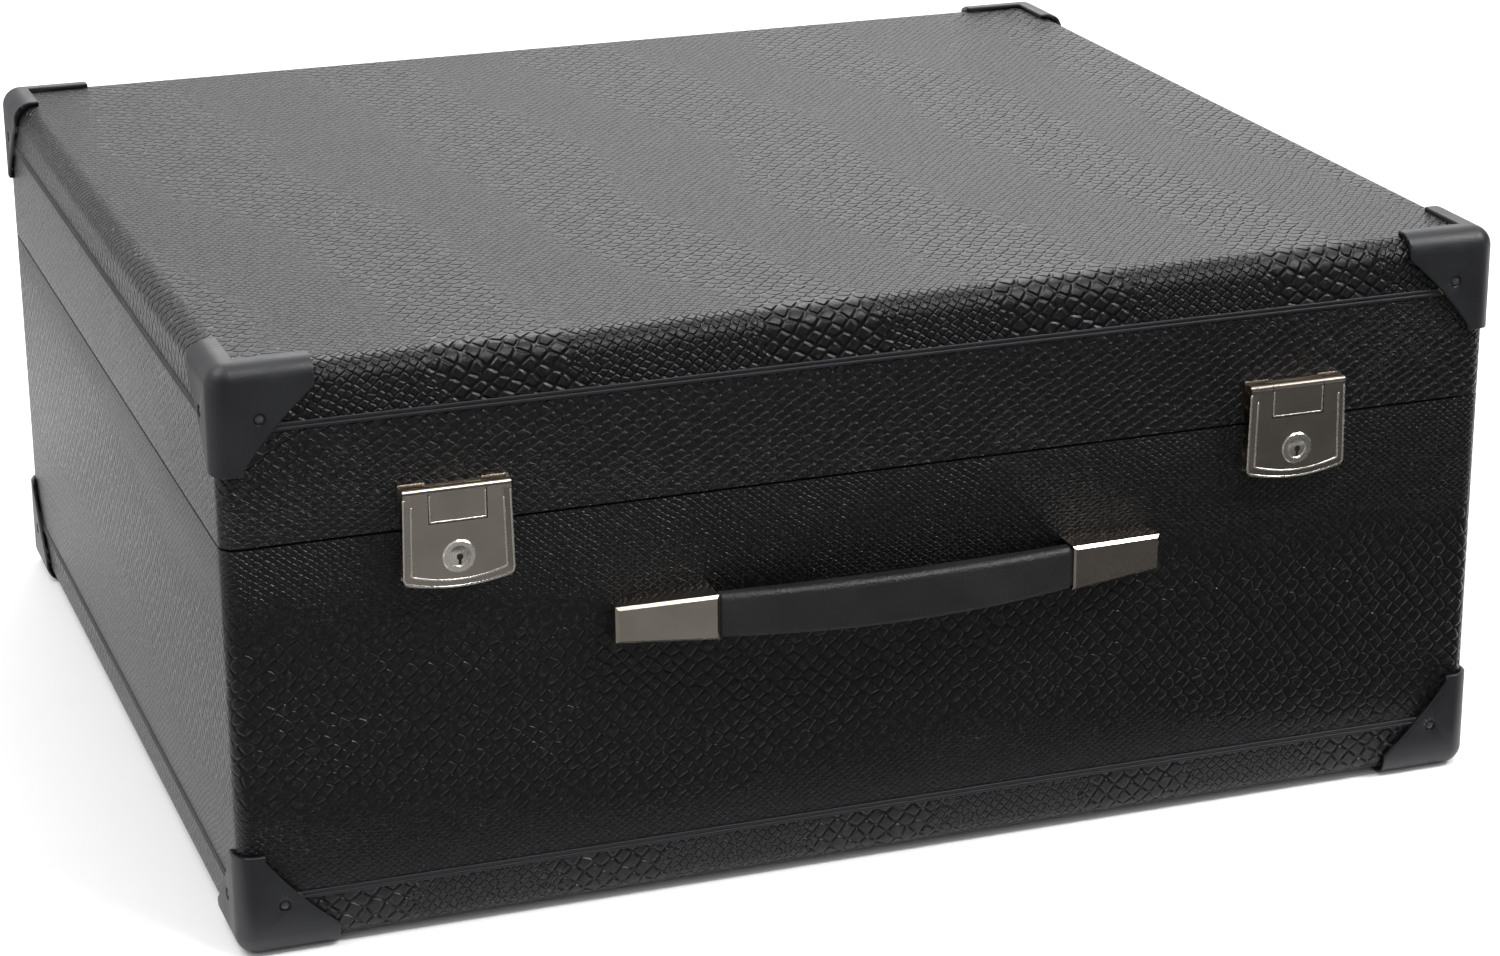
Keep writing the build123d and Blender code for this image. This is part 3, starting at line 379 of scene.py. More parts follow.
covering_bottom = leatherette(
    "covering_base_bottom", shift=(0.31, 0.02, 0), turn=5, bands=(0.118, 0, 0, 0.10),
    big=(8.5 * MM, 8.0 * MM, 0.30), small=(4.6 * MM, 4.4 * MM, 0.30),
    lean=FORWARDS, lip=0.2, depth=1.2 * MM)

# %% [markdown]
# ## Metals, plastic, rubber, plush and plywood
# Satin nickel is scratched one way, so its roughness and bump come from noise drawn out along X.
# Polished nickel only has faint clouds, and its near-white colour is partly painted highlight.
# Moulded plastic and rubber have a fine grain. Plush gets its glow from sheen. Plywood shows thin
# plies on its edges, across whichever way the board lies, and is black near the parting line as
# painted shade.


# %% Metals
def nickel(name, colour, smooth, rough, scratch, depth):
    """Warm plate; scratch is the noise's scale on each axis, and smooth to rough its roughness."""
    finish, shader = new_finish(name, Metallic=1.0)
    here = place(finish)
    lines = noise(finish, stretch(finish, here, scratch), 1.0, 3.0, 0.6)
    cloud = ramp(finish, noise(finish, here, 60.0, 3.0), 0.3, 0.7)
    darker = tuple(c * 0.86 for c in colour[:3]) + (1,)
    wire(finish, shader.inputs["Roughness"], ramp(finish, lines, 0.25, 0.75, smooth, rough))
    wire(finish, shader.inputs["Base Color"], mix_colour(finish, cloud, darker, colour))
    bump(finish, shader, lines, depth)
    return finish


satin = nickel("satin_nickel", (0.50, 0.445, 0.385, 1), 0.24, 0.27, (40, 3000, 3000), 0.0004 * MM)
# Painted highlight: polished nickel's near-white colour, at about the satin's roughness, makes the
# latch lines and lock rings bright.
polished_highlight = nickel("polished_nickel", (0.92, 0.88, 0.81, 1), 0.24, 0.30, (700, 700, 700), 0.001 * MM)
bright = nickel("bright_nickel", (0.66, 0.61, 0.54, 1), 0.20, 0.28, (200, 1400, 1400), 0.001 * MM)
spring = nickel("spring_steel", (0.36, 0.37, 0.40, 1), 0.28, 0.40, (60, 2000, 2000), 0.002 * MM)


# %% Plastic, rubber and blackened steel
def moulded(name, colour, rough, grain, depth):
    """Black surface: grain of a scale and a depth tilts the normal, clouds mottle the gloss."""
    finish, shader = new_finish(name, Roughness=rough, Specular_IOR_Level=0.5)
    here = place(finish)
    fine = noise(finish, here, grain, 3.0, 0.6)
    cloud = noise(finish, here, 45.0, 3.0)
    lighter = tuple(min(1, c * 1.5) for c in colour[:3]) + (1,)
    tone = mix_colour(finish, ramp(finish, cloud, 0.3, 0.75), colour, lighter)
    wire(finish, shader.inputs["Base Color"], tone)
    dull = ramp(finish, cloud, 0.2, 0.8, rough - 0.05, rough + 0.08)
    wire(finish, shader.inputs["Roughness"], dull)
    bump(finish, shader, fine, depth)
    return finish


plastic = moulded("corner_plastic", (0.0065, 0.007, 0.009, 1), 0.44, 1100.0, 0.10 * MM)
rubber = moulded("grip_rubber", (0.008, 0.008, 0.0085, 1), 0.44, 800.0, 0.45 * MM)
black_steel = moulded("black_steel", (0.025, 0.025, 0.027, 1), 0.18, 700.0, 0.02 * MM)
welt_finish = moulded("welt_piping", (0.006, 0.006, 0.009, 1), 0.5, 500.0, 0.02 * MM)
# Painted shade: a near-black finish for the keyholes' mouths, which stand in for holes.
keyhole_shade = moulded("keyhole_shade", (0.004, 0.004, 0.004, 1), 0.75, 700.0, 0.01 * MM)


# %% Plush
def plush():
    """Wine-red plush: strong sheen, short pile as fine bump, soft strokes where it was brushed."""
    finish, shader = new_finish("plush", Roughness=0.9, Specular_IOR_Level=0.2)
    shader.inputs["Sheen Weight"].default_value = 0.6
    shader.inputs["Sheen Roughness"].default_value = 0.4
    shader.inputs["Sheen Tint"].default_value = (0.85, 0.25, 0.28, 1)
    here = place(finish)
    pile = noise(finish, here, 1600.0, 3.0, 0.7)
    stroke = noise(finish, stretch(finish, here, (14, 30, 30)), 1.0, 2.0)
    dark, light = (0.15, 0.012, 0.020, 1), (0.22, 0.020, 0.032, 1)
    tone = mix_colour(finish, ramp(finish, stroke, 0.35, 0.7), dark, light)
    wire(finish, shader.inputs["Base Color"], tone)
    soft = maths(finish, "ADD", pile, maths(finish, "MULTIPLY", stroke, 1.5))
    bump(finish, shader, soft, 0.5 * MM)
    return finish


plush_finish = plush()

# %% Plywood
PLIES = 2.7 * MM                  # two plies, one pale and one brown
# The black near the parting line is painted shade for the gap where the lid meets the base.
PALE, BROWN, GAP_SHADE_BLACK = (0.62, 0.45, 0.27, 1), (0.40, 0.26, 0.14, 1), (0.006, 0.006, 0.006, 1)


def plywood(name, axis):
    """Birch plywood whose plies are stacked along one axis; the grain runs along another.

    The brown's share is a smooth step of sin(2 pi a / PLIES) and the grain's noise. Where
    |z - parting| is below 2.2 to 2.6 mm the wood is black: painted shade for the gap where the lid
    meets the base, which also shows on the open case's rims.
    """
    finish, shader = new_finish(name, Roughness=0.55)
    here = place(finish)
    split = add(finish, "ShaderNodeSeparateXYZ", here).node.outputs
    angle = maths(finish, "MULTIPLY", split[axis], 2 * pi / PLIES)
    plies = maths(finish, "SINE", angle)
    fine = [900, 900, 900]
    fine["XYZ".index("Y" if axis == "X" else "X")] = 12
    grain = noise(finish, stretch(finish, here, fine), 1.0, 4.0, 0.65)
    layers = ramp(finish, plies, 0.2, 0.7, 0.0, 0.5)
    share = maths(finish, "ADD", layers, maths(finish, "MULTIPLY", grain, 0.45))
    bare = mix_colour(finish, share, PALE, BROWN)
    # Painted shade: black within 2.2 to 2.6 mm of the parting line, for the gap between lid and
    # base.
    from_rim = maths(finish, "ABSOLUTE", maths(finish, "SUBTRACT", split["Z"], PARTING))
    beyond_gap_shade = ramp(finish, from_rim, 2.2 * MM, 2.6 * MM)
    wire(finish, shader.inputs["Base Color"], mix_colour(finish, beyond_gap_shade, GAP_SHADE_BLACK, bare))
    relief = maths(finish, "ADD", grain, maths(finish, "MULTIPLY", plies, 0.4))
    bump(finish, shader, relief, 0.08 * MM)
    return finish


ply_front = plywood("plywood_front", "Y")
ply_side = plywood("plywood_side", "X")
ply_panel = plywood("plywood_panel", "Z")

# %% [markdown]
# ## The CAD pieces keep their shape
# Boards, hinges, plates, locks and rivets are right as they are, so each node only takes its
# finish.


# %% Finishes on the CAD nodes
def dress(finish, *names):
    """Gives CAD nodes a finish."""
    for name in names:
        mesh = nodes[name].data
        mesh.materials.clear()
        mesh.materials.append(finish)


CORNERS = [f"{a}_{b}" for a in ("front", "back") for b in ("left", "right")]
dress(ply_front, "base_front_board", "base_back_board", "lid_front_board", "lid_back_board")
dress(ply_side, "base_side_boards", "lid_side_boards", "closing_lip")
dress(ply_panel, "base_bottom_panel", "lid_top_panel")
dress(plastic, *[f"{half}_corner_{c}" for half in ("base", "lid") for c in CORNERS])
dress(plastic, "base_rear_feet", "lid_rear_feet")
dress(black_steel, "base_tacks", "lid_tacks")
dress(bright, "base_rivets", "lid_rivets", "hinge_pins", "latch_pins")
dress(bright, "handle_mounts", "handle_backing_plates")
for side in ("left", "right"):
    dress(bright, f"{side}_hinge_base_leaf", f"{side}_hinge_lid_leaf")
    dress(bright, f"{side}_latch_base_plate", f"{side}_latch_keeper")
    dress(satin, f"{side}_latch_lid_plate", f"{side}_latch_flap", f"{side}_handle_cap")
    # The locks take polished nickel, whose near-white colour is partly painted highlight.
    dress(polished_highlight, f"{side}_lock_barrel", f"{side}_lock_cylinder")
    dress(spring, f"{side}_handle_band")

# %% [markdown]
# ## Softened edges
# Moulded caps have no knife edges, and a soft edge is what catches the light. The nodes' own
# meshes stay as they are. A copy of each cap is merged, its sharp edges are rounded by a Bevel
# modifier, and the copy stands for the node.

# %% Softened copies
CAP_EDGE = 0.7 * MM               # width of the rounding
TACK_SEAT = 3.5 * MM              # a cap's edges this near a tack's head are its seat


def apply_modifiers(piece):
    """Turns what the modifiers give into the piece's own mesh."""
    view = bpy.context.evaluated_depsgraph_get()
    view.update()
    made = bpy.data.meshes.new_from_object(piece.evaluated_get(view))
    piece.modifiers.clear()
    piece.data = made


def outside(point):
    """How far a point stands out of the covered box: the largest of its distances past a face."""
    past_x, past_y = abs(point.x) - HALF_X, abs(point.y - MIDDLE_Y) - HALF_Y
    return max(past_x, past_y, point.z - TOP, BOTTOM - point.z)


def soften(node, body):
    """Copies a cap's mesh, merges it and rounds its outer edges that turn by over 38 degrees."""
    tacks = nodes[f"{body}_tacks"].data.vertices
    heads = KDTree(len(tacks))
    for k, v in enumerate(tacks):
        heads.insert(v.co, k)
    heads.balance()
    piece = close_mesh(f"{node}_soft", nodes[node].data.copy(), 1e-5)
    work = bmesh.new()
    work.from_mesh(piece.data)
    weight = work.edges.layers.float.new("bevel_weight_edge")
    for edge in work.edges:
        if len(edge.link_faces) == 2 and edge.calc_face_angle() > radians(38):
            middle = (edge.verts[0].co + edge.verts[1].co) / 2
            outer = min(outside(v.co) for v in edge.verts) > 0.5 * MM
            if outer and heads.find(middle)[2] > TACK_SEAT:
                edge[weight] = 1.0
    work.to_mesh(piece.data)
    work.free()
    rounding = piece.modifiers.new("soft", "BEVEL")
    rounding.width, rounding.segments, rounding.limit_method = CAP_EDGE, 3, "WEIGHT"
    even = piece.modifiers.new("even", "WEIGHTED_NORMAL")
    even.keep_sharp, even.weight = True, 100
    apply_modifiers(piece)
    return finish_piece(piece, body, "corner_plastic", plastic, node)


for corner in CORNERS:
    soften(f"base_corner_{corner}", "base")
    soften(f"lid_corner_{corner}", "lid")

# %% [markdown]
# ## Coverings
# The leatherette is folded over the box. A rounded rectangle runs round the case and a short
# profile runs up the wall, so each covering is one grid: position = ring(s, inset(t)), height(t).
# The flat sheet's coordinates are kept as the UV map, so that the scales run over the folded edge
# without a break. The sheet's own seams fall at the corners, under the caps.


# %% Ring round the case
def ring_samples(along, across, corner):
    """Samples round a rounded rectangle, from the middle of the back and closed there.

    Each sample is a share of the inner rectangle's half sides and a unit normal:
    point = share * (half - inset - radius) + normal * radius.
    """
    corners = [(1, 1), (1, -1), (-1, -1), (-1, 1)]
    sides = [across, along, across, along]
    first = np.linspace(0, 1, along // 2 + 1)
    shares = [np.stack([first, np.ones_like(first)], 1)]
    normals = [np.tile([0.0, 1.0], (len(first), 1))]
    for k, (sx, sy) in enumerate(corners):
        begin = radians(90 - 90 * k)
        turn = begin - np.linspace(0, 1, corner + 1)[1:] * radians(90)
        shares.append(np.tile([float(sx), float(sy)], (corner, 1)))
        normals.append(np.stack([np.cos(turn), np.sin(turn)], 1))
        following = corners[(k + 1) % 4]
        steps = sides[k] if k < 3 else sides[k] // 2
        run = np.linspace(0, 1, sides[k] + 1)[1:steps + 1, None]
        shares.append(np.array([sx, sy]) * (1 - run) + np.array(following) * run)
        normals.append(np.tile(normals[-1][-1], (steps, 1)))
    return np.concatenate(shares), np.concatenate(normals)


RING_SHARES, RING_NORMALS = ring_samples(140, 124, 6)
print("ring samples", len(RING_SHARES))


def ring_points(inset, corner_radius):
    """The ring's points at an inset, with its corners rounded by a radius."""
    half = np.maximum(np.array([HALF_X, HALF_Y]) - inset - corner_radius, 0)
    return RING_SHARES * half + RING_NORMALS * corner_radius + np.array([0, MIDDLE_Y])


def stack_rings(rings, heights):
    """Puts each flat ring of points at its own height."""
    level = np.broadcast_to(heights[:, None, None], rings.shape[:2] + (1,))
    return np.concatenate([rings, level], -1)


# %% Walls' coverings
def wall_covering(name, z_low, z_high):
    """Closed thin band: outside at inset 0, inside at the skin's thickness, rims turned in."""
    turn = 0.3 * MM
    part = turn * 0.3
    rows = np.linspace(z_low + turn, z_high - turn, 8)
    inset = np.concatenate([np.zeros(8), [part, turn, SKIN, SKIN, turn, part, 0]])
    rims = [z_high - part, z_high, z_high, z_low, z_low, z_low + part, z_low + turn]
    z = np.concatenate([rows, rims])
    rings = np.stack([ring_points(d, UPRIGHT_RADIUS - d) for d in inset])
    step = np.linalg.norm(np.diff(rings[0], axis=0), axis=1)
    run = np.concatenate([[0], np.cumsum(step)])
    up = np.where(inset < SKIN, z, z_high)
    UV = np.stack(np.broadcast_arrays(up[:, None], run[None, :]), -1)
    return grid_piece(name, [(stack_rings(rings, z), UV)])


def pocket_cut(piece, z_high):
    """Opens the base's covering behind each latch, where the keeper's pan sits in the board."""
    for side in ("left", "right"):
        a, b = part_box(f"{side}_latch_keeper")
        grow = 0.2 * MM
        size = (b.x - a.x + 2 * grow, 0.02, z_high - a.z + grow)
        middle = ((a.x + b.x) / 2, FRONT, a.z - grow + size[2] / 2)
        work = bmesh.new()
        bmesh.ops.create_cube(work, size=1, matrix=Matrix.LocRotScale(middle, None, size))
        mesh = bpy.data.meshes.new("pocket")
        work.to_mesh(mesh)
        work.free()
        cutter = put("pocket", mesh)
        cut = piece.modifiers.new("pocket", "BOOLEAN")
        cut.object, cut.operation, cut.solver = cutter, "DIFFERENCE", "EXACT"
        apply_modifiers(piece)
        bpy.data.objects.remove(cutter)


base_wall = wall_covering("base_wall_leatherette", BASE_WELT + WELT_HALF, PARTING - 0.4 * MM)
pocket_cut(base_wall, PARTING + 1 * MM)
lid_wall = wall_covering("lid_wall_leatherette", PARTING + 0.4 * MM, LID_WELT - WELT_HALF)
finish_piece(base_wall, "base", "leatherette", covering_base, "base_wall_covering")
finish_piece(lid_wall, "lid", "leatherette", covering_lid, "lid_wall_covering")


# %% Folded sheets over the top and under the bottom
def fold_profile(radius, wall, skin):
    """Inset, drop and sheet length of a fold's profile, from the rim to the face's middle.

    The profile is a straight wall, a quarter arc of the radius and a flat run, all moved inwards
    by the skin. The sheet's length counts from the flat part outwards, along the arc and the wall.
    """
    arc = np.linspace(0, pi / 2, 13)
    reach = np.linspace(0, 1, 12)[1:] * (HALF_Y - radius)
    down = np.linspace(0, 1, 5)[:-1] * wall
    r = radius - skin
    inset = np.concatenate([np.full(4, skin), radius - r * np.cos(arc), radius + reach])
    drop = np.concatenate([radius + wall - down, radius - r * np.sin(arc), np.full(11, skin)])
    along = [radius * pi / 2 + wall - down, radius * (pi / 2 - arc), np.zeros(11)]
    return inset, drop, np.concatenate(along)


def folded_covering(name, face_z, rim_z, radius):
    """A sheet over a whole face, folded round its edge and down to the welt, closed behind.

    Beyond the flat part the sheet's coordinate goes on along the normal by the length of the arc
    and the wall, so the pattern isn't stretched.
    """
    way = np.sign(face_z - rim_z)
    wall = abs(face_z - rim_z) - radius
    outer, inner = fold_profile(radius, wall, 0.0), fold_profile(radius, wall, SKIN)
    inset, drop, extra = (np.concatenate([b[::-1], a]) for a, b in zip(outer, inner))
    rings, sheet = [], []
    for d, e in zip(inset, extra):
        closed = d > HALF_Y - 1e-6
        rings.append(ring_points(d, 0.0 if closed else max(UPRIGHT_RADIUS - d, 0.4 * MM)))
        sheet.append(ring_points(max(d, radius), 0.0) + RING_NORMALS * e)
    P = stack_rings(np.stack(rings), face_z - way * drop)
    return grid_piece(name, [(P, np.stack(sheet))])


lid_rim, base_rim = LID_WELT + WELT_HALF, BASE_WELT - WELT_HALF
lid_sheet = folded_covering("lid_top_leatherette", TOP, lid_rim, TOP_RADIUS)
base_sheet = folded_covering("base_bottom_leatherette", BOTTOM, base_rim, BOTTOM_RADIUS)
finish_piece(lid_sheet, "lid", "leatherette", covering_top, "lid_top_covering")
finish_piece(base_sheet, "base", "leatherette", covering_bottom, "base_bottom_covering")

# %% [markdown]
# ## Welts
# A welt is an extruded strip with two beads and a groove between them. Its section is carried
# along each side in a straight line. Its ends follow the slanted edge of the corner caps and run
# a little way under them.

# %% Welts
CAP_LEG, CAP_DROP, CAP_TIP = 40 * MM, 43 * MM, 8.5 * MM
STRIP_HALF, STRIP_SEAT = 1.69, -0.98           # the strip's half width and its back, in mm
BEAD_MIDDLE, BEAD_HALF, BEAD_HIGH = 0.95, 0.75, 0.5
WEB = 0.05                                     # least height, in the groove
WELT_TUCK = 1.2 * MM                           # how far the ends run under the caps


def cap_edge(height):
    """How far a cap reaches along an edge at a height from its face: a straight slant."""
    share = (height - CAP_TIP) / (CAP_DROP - CAP_TIP)
    return CAP_LEG + (CAP_TIP - CAP_LEG) * share - 0.4 * MM


def welt_section():
    """Two half-round beads, w = high sqrt(1 - ((|v| - middle) / half)^2), over a flat seat."""
    v = np.linspace(-STRIP_HALF, STRIP_HALF, 33)
    inside = np.clip(1 - ((np.abs(v) - BEAD_MIDDLE) / BEAD_HALF) ** 2, 0, 1)
    w = np.maximum(BEAD_HIGH * np.sqrt(inside), WEB)
    v = np.concatenate([v, [STRIP_HALF, -STRIP_HALF, -STRIP_HALF]])
    w = np.concatenate([w, [STRIP_SEAT, STRIP_SEAT, w[0]]])
    return v * MM, w * MM


def welt_piece(name, z, face_z):
    """Four straight strips round the case at a height, each closed at both ends."""
    v, w = welt_section()
    from_corner = cap_edge(np.abs(face_z - (z + v))) - WELT_TUCK
    grids = []
    for axis, out in ((0, -1), (0, 1), (1, -1), (1, 1)):
        half = (HALF_X, HALF_Y)[axis] - from_corner
        run = np.linspace(-1, 1, 41)[:, None] * half[None, :]
        P = np.empty(run.shape + (3,))
        P[..., axis] = run
        P[..., 1 - axis] = out * ((HALF_Y, HALF_X)[axis] + w)
        P[..., 1] += MIDDLE_Y
        P[..., 2] = z + v
        UV = np.stack(np.broadcast_arrays(run, v[None, :]), -1)
        grids += [(P, UV), plain(fan(P[0])), plain(fan(P[-1]))]
    return grid_piece(name, grids)


finish_piece(welt_piece("lid_piping", LID_WELT, TOP), "lid", "welt", welt_finish, "lid_welt")
finish_piece(welt_piece("base_piping", BASE_WELT, BOTTOM), "base", "welt", welt_finish, "base_welt")

# %% [markdown]
# ## Grip
# The strap swells towards its middle. Its section, a rounded rectangle, is carried along the bow
# w(x). Two halves are made, because a blend joins two bodies.

# %% Bow and section
grip_low, grip_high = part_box("handle_grip_middle")
HANDLE_Z = (grip_low.z + grip_high.z) / 2
GRIP_END, NECK_END = 78.5 * MM, 83.4 * MM
NECK_THICK, NECK_TALL, NECK_BACK = 3.2 * MM, 8.3 * MM, 0.9 * MM
GRIP_ROUND, NECK_ROUND = 3.2 * MM, 1.5 * MM


def bow(x, end, middle):
    """Circular arc through (GRIP_END, end) and (0, middle): y = c + sqrt(r^2 - x^2)."""
    rise = middle - end
    radius = (GRIP_END * GRIP_END + rise * rise) / (2 * rise)
    return middle - radius + np.sqrt(radius * radius - x * x)


def section(half_w, half_h, radius):
    """Rounded rectangle as (w, h) offsets, closed, with its corners as quarter circles."""
    quarter = np.linspace(0, pi / 2, 7)
    w, h = [], []
    for k, (sw, sh) in enumerate(((1, 1), (-1, 1), (-1, -1), (1, -1))):
        turn = quarter + k * pi / 2
        w.append(sw * (half_w - radius) + radius * np.cos(turn))
        h.append(sh * (half_h - radius) + radius * np.sin(turn))
    w, h = np.concatenate(w), np.concatenate(h)
    return np.append(w, w[0]), np.append(h, h[0])


# %% Grip
def grip_half(name, way):
    """Sections along x: full at the middle, slimmer at the shoulder, a neck that enters the cap."""
    body = np.linspace(0, GRIP_END - 1.0 * MM, 60)
    shoulder = GRIP_END - np.array([0.6, 0.25, 0.05, 0]) * MM
    x = np.concatenate([body, shoulder, [GRIP_END, NECK_END]])
    shrink = np.concatenate([np.zeros(60), np.array([0.08, 0.3, 0.65, 1.2]) * MM, [0, 0]])
    rows = []
    for k, (px, cut) in enumerate(zip(x, shrink)):
        inside = min(px, GRIP_END)
        front, back = bow(inside, 14 * MM, 22 * MM), bow(inside, 6 * MM, 12 * MM)
        if k < len(x) - 2:
            thick, tall = (front - back) / 2 - cut, bow(inside, 9.5 * MM, 10.75 * MM) - cut
            w, h = section(thick, tall, min(GRIP_ROUND, thick - 0.2 * MM))
        else:
            w, h = section(NECK_THICK, NECK_TALL, NECK_ROUND)
        centre = (front + back) / 2 - (0.0 if px <= GRIP_END else NECK_BACK)
        rows.append(np.stack([np.full_like(w, way * px), FRONT - (centre + w), HANDLE_Z + h], -1))
    P = np.stack(rows)
    u = np.broadcast_to(x[:, None], P.shape[:2])
    turn = np.broadcast_to(np.linspace(0, 1, P.shape[1]), P.shape[:2])
    mapped = (P, np.stack([u, turn], -1))
    return grid_piece(name, [mapped, plain(fan(P[0])), plain(fan(P[-1]))])


for side, sign in (("left", -1), ("right", 1)):
    half = grip_half(f"{side}_grip_rubber", sign)
    half.data.materials.append(rubber)
    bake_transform(half)
    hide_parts(f"{side}_handle_grip_end", "handle_grip_middle")

# %% [markdown]
# ## Polished lines on the latches, with painted highlight
# The satin flap has two polished lines, one on its rim and one where the bevelled border meets
# the raised middle. A third runs round the tongue that comes down from the lid's plate. Each is a
# fine round bead carried along an outline that is given in mm from the latch's middle and the
# parting line. The beads catch the lamps, and their near-white colour adds painted highlight.

# %% Outline of the flap
FLAP_FACE = 6.9 * MM                            # the flap's face off the covering
FLAP_HALF, FLAP_TAPER, FLAP_TALL = 23.2, 0.9, 37.8    # half width at the foot, lost over the height
FLAP_FOOT, FLAP_CORNER, FLAP_BELLY = -21.6, 3.0, 2.9


def flap_path(inset, top):
    """Down one side, round the corner, along the belly and up the other side, in metres."""
    def wide(v):
        return FLAP_HALF - inset - FLAP_TAPER * (v - FLAP_FOOT) / FLAP_TALL

    r = max(FLAP_CORNER - inset / 2, 0.6)
    foot = FLAP_FOOT + inset
    middle_u, middle_v = wide(FLAP_FOOT) - r, foot + r
    down = np.linspace(top, middle_v, 40)
    side = np.stack([wide(down), down], 1)
    turn = np.linspace(0, radians(-76), 12)[1:]
    corner = np.stack([middle_u + r * np.cos(turn), middle_v + r * np.sin(turn)], 1)
    end_u, end_v = corner[-1]
    u = np.linspace(end_u, 0, 40)[1:]
    sag = end_v + (foot - FLAP_BELLY - end_v) * (1 - (u / end_u) ** 2)
    right = np.concatenate([side, corner, np.stack([u, sag], 1)])
    left = right[:-1][::-1] * np.array([-1, 1])
    return np.concatenate([right, left]) * MM


def tongue_path():
    """The tongue's outline: down, across and up, sampled evenly on each of its three sides."""
    corners = np.array([[-11.5, 15.5], [-11.5, 4.1], [11.5, 4.1], [11.5, 15.5]])
    stops = np.linspace(0, 3, 91)
    return np.stack([np.interp(stops, range(4), corners[:, k]) for k in (0, 1)], 1) * MM


# %% Beads
def bead(name, path, off, radius, middle_x):
    """A round bead of a radius carried along a path at a distance off the covering."""
    along = np.gradient(path, axis=0)
    along /= np.linalg.norm(along, axis=1, keepdims=True)
    across = np.stack([-along[:, 1], along[:, 0]], 1)
    turn = np.linspace(0, 2 * pi, 13)
    size = np.full(len(path), radius)
    size[[0, -1]] = 0.0
    ring = size[:, None] * np.cos(turn)[None, :]
    P = np.empty((len(path), 13, 3))
    P[..., 0] = middle_x + path[:, 0, None] + across[:, 0, None] * ring
    P[..., 2] = PARTING + path[:, 1, None] + across[:, 1, None] * ring
    P[..., 1] = FRONT - off - size[:, None] * np.sin(turn)[None, :]
    return grid_piece(name, [plain(P)])


# The beads catch the lamps; their polished nickel adds painted highlight through its near-white
# colour.
for side, x in LATCH_X.items():
    rim_off, border_off, tongue_off = (FLAP_FACE - depth * MM for depth in (0.8, 0.2, 0.25))
    rim = bead(f"{side}_flap_rim_line", flap_path(0.4, 15.0), rim_off, 0.55 * MM, x)
    border = bead(f"{side}_flap_border_line", flap_path(3.4, 11.8), border_off, 0.45 * MM, x)
    for line in (rim, border):
        finish_piece(line, f"{side}_flap", "polished_nickel", polished_highlight)
    line = bead(f"{side}_tongue_line", tongue_path(), tongue_off, 0.42 * MM, x)
    finish_piece(line, "lid", "polished_nickel", polished_highlight)

# %% [markdown]
# ## Keyholes
# A keyhole is a dark mouth: a round hole with a slot below it. The mouth is drawn as a thin black
# patch that follows the lock's dome, painted shade where the hole would be, so it reads as an
# opening. It turns with the lock.

# %% Keyholes
HOLE, SLOT_HALF, SLOT_END = 1.35, 0.62, 3.4     # mm
DOME_HIGH, DOME_RADIUS, PATCH = 0.9, 4.6, 0.05
LOCK_DROP = 11.3 * MM                           # lock's middle below the parting line


def keyway(name, middle_x, body):
    """Rings from the middle to the outline of a circle and a slot, on the dome.

    The outline is r(t) = max(circle, slot), and the dome h = high (1 - r^2 / R^2) + patch.
    """
    turn = np.linspace(0, 2 * pi, 97)
    down = np.cos(turn + pi / 2)
    side = np.maximum(np.abs(np.sin(turn + pi / 2)), 1e-3)
    slot = np.minimum(SLOT_HALF / side, SLOT_END / np.maximum(down, 1e-3))
    outline = np.maximum(HOLE, np.where(down > 0, slot, 0))
    r = outline[None, :] * np.linspace(0, 1, 6)[:, None]
    u, v = r * np.cos(turn), r * np.sin(turn)
    lift = DOME_HIGH * (1 - (u * u + v * v) / DOME_RADIUS ** 2) + PATCH
    y = FRONT - FLAP_FACE - lift * MM
    P = np.stack([middle_x + u * MM, y, PARTING - LOCK_DROP + v * MM], -1)
    back = P[-1] + np.array([0, 0.3 * MM, 0])
    rim = np.stack([P[-1], back])
    piece = grid_piece(name, [plain(P), plain(rim), plain(fan(back))])
    return finish_piece(piece, body, "polished_nickel", keyhole_shade)


for side, x in LATCH_X.items():
    keyway(f"{side}_keyhole", x, f"{side}_lock")

# %% [markdown]
# ## Pads and linings
# Foam under plush: flat where it lies on the wood, crowned in the middle, with its sides drawn in
# between the corners. The pad is a closed grid, top and bottom, whose top height is
# crown * (1 - |u|^4)(1 - |v|^4), with shallow waves, over a soft rim.

# %% Pads
PAD_DRAW, PAD_RIM = 1.2 * MM, 5 * MM      # how far the sides draw in, and the rim's rounding


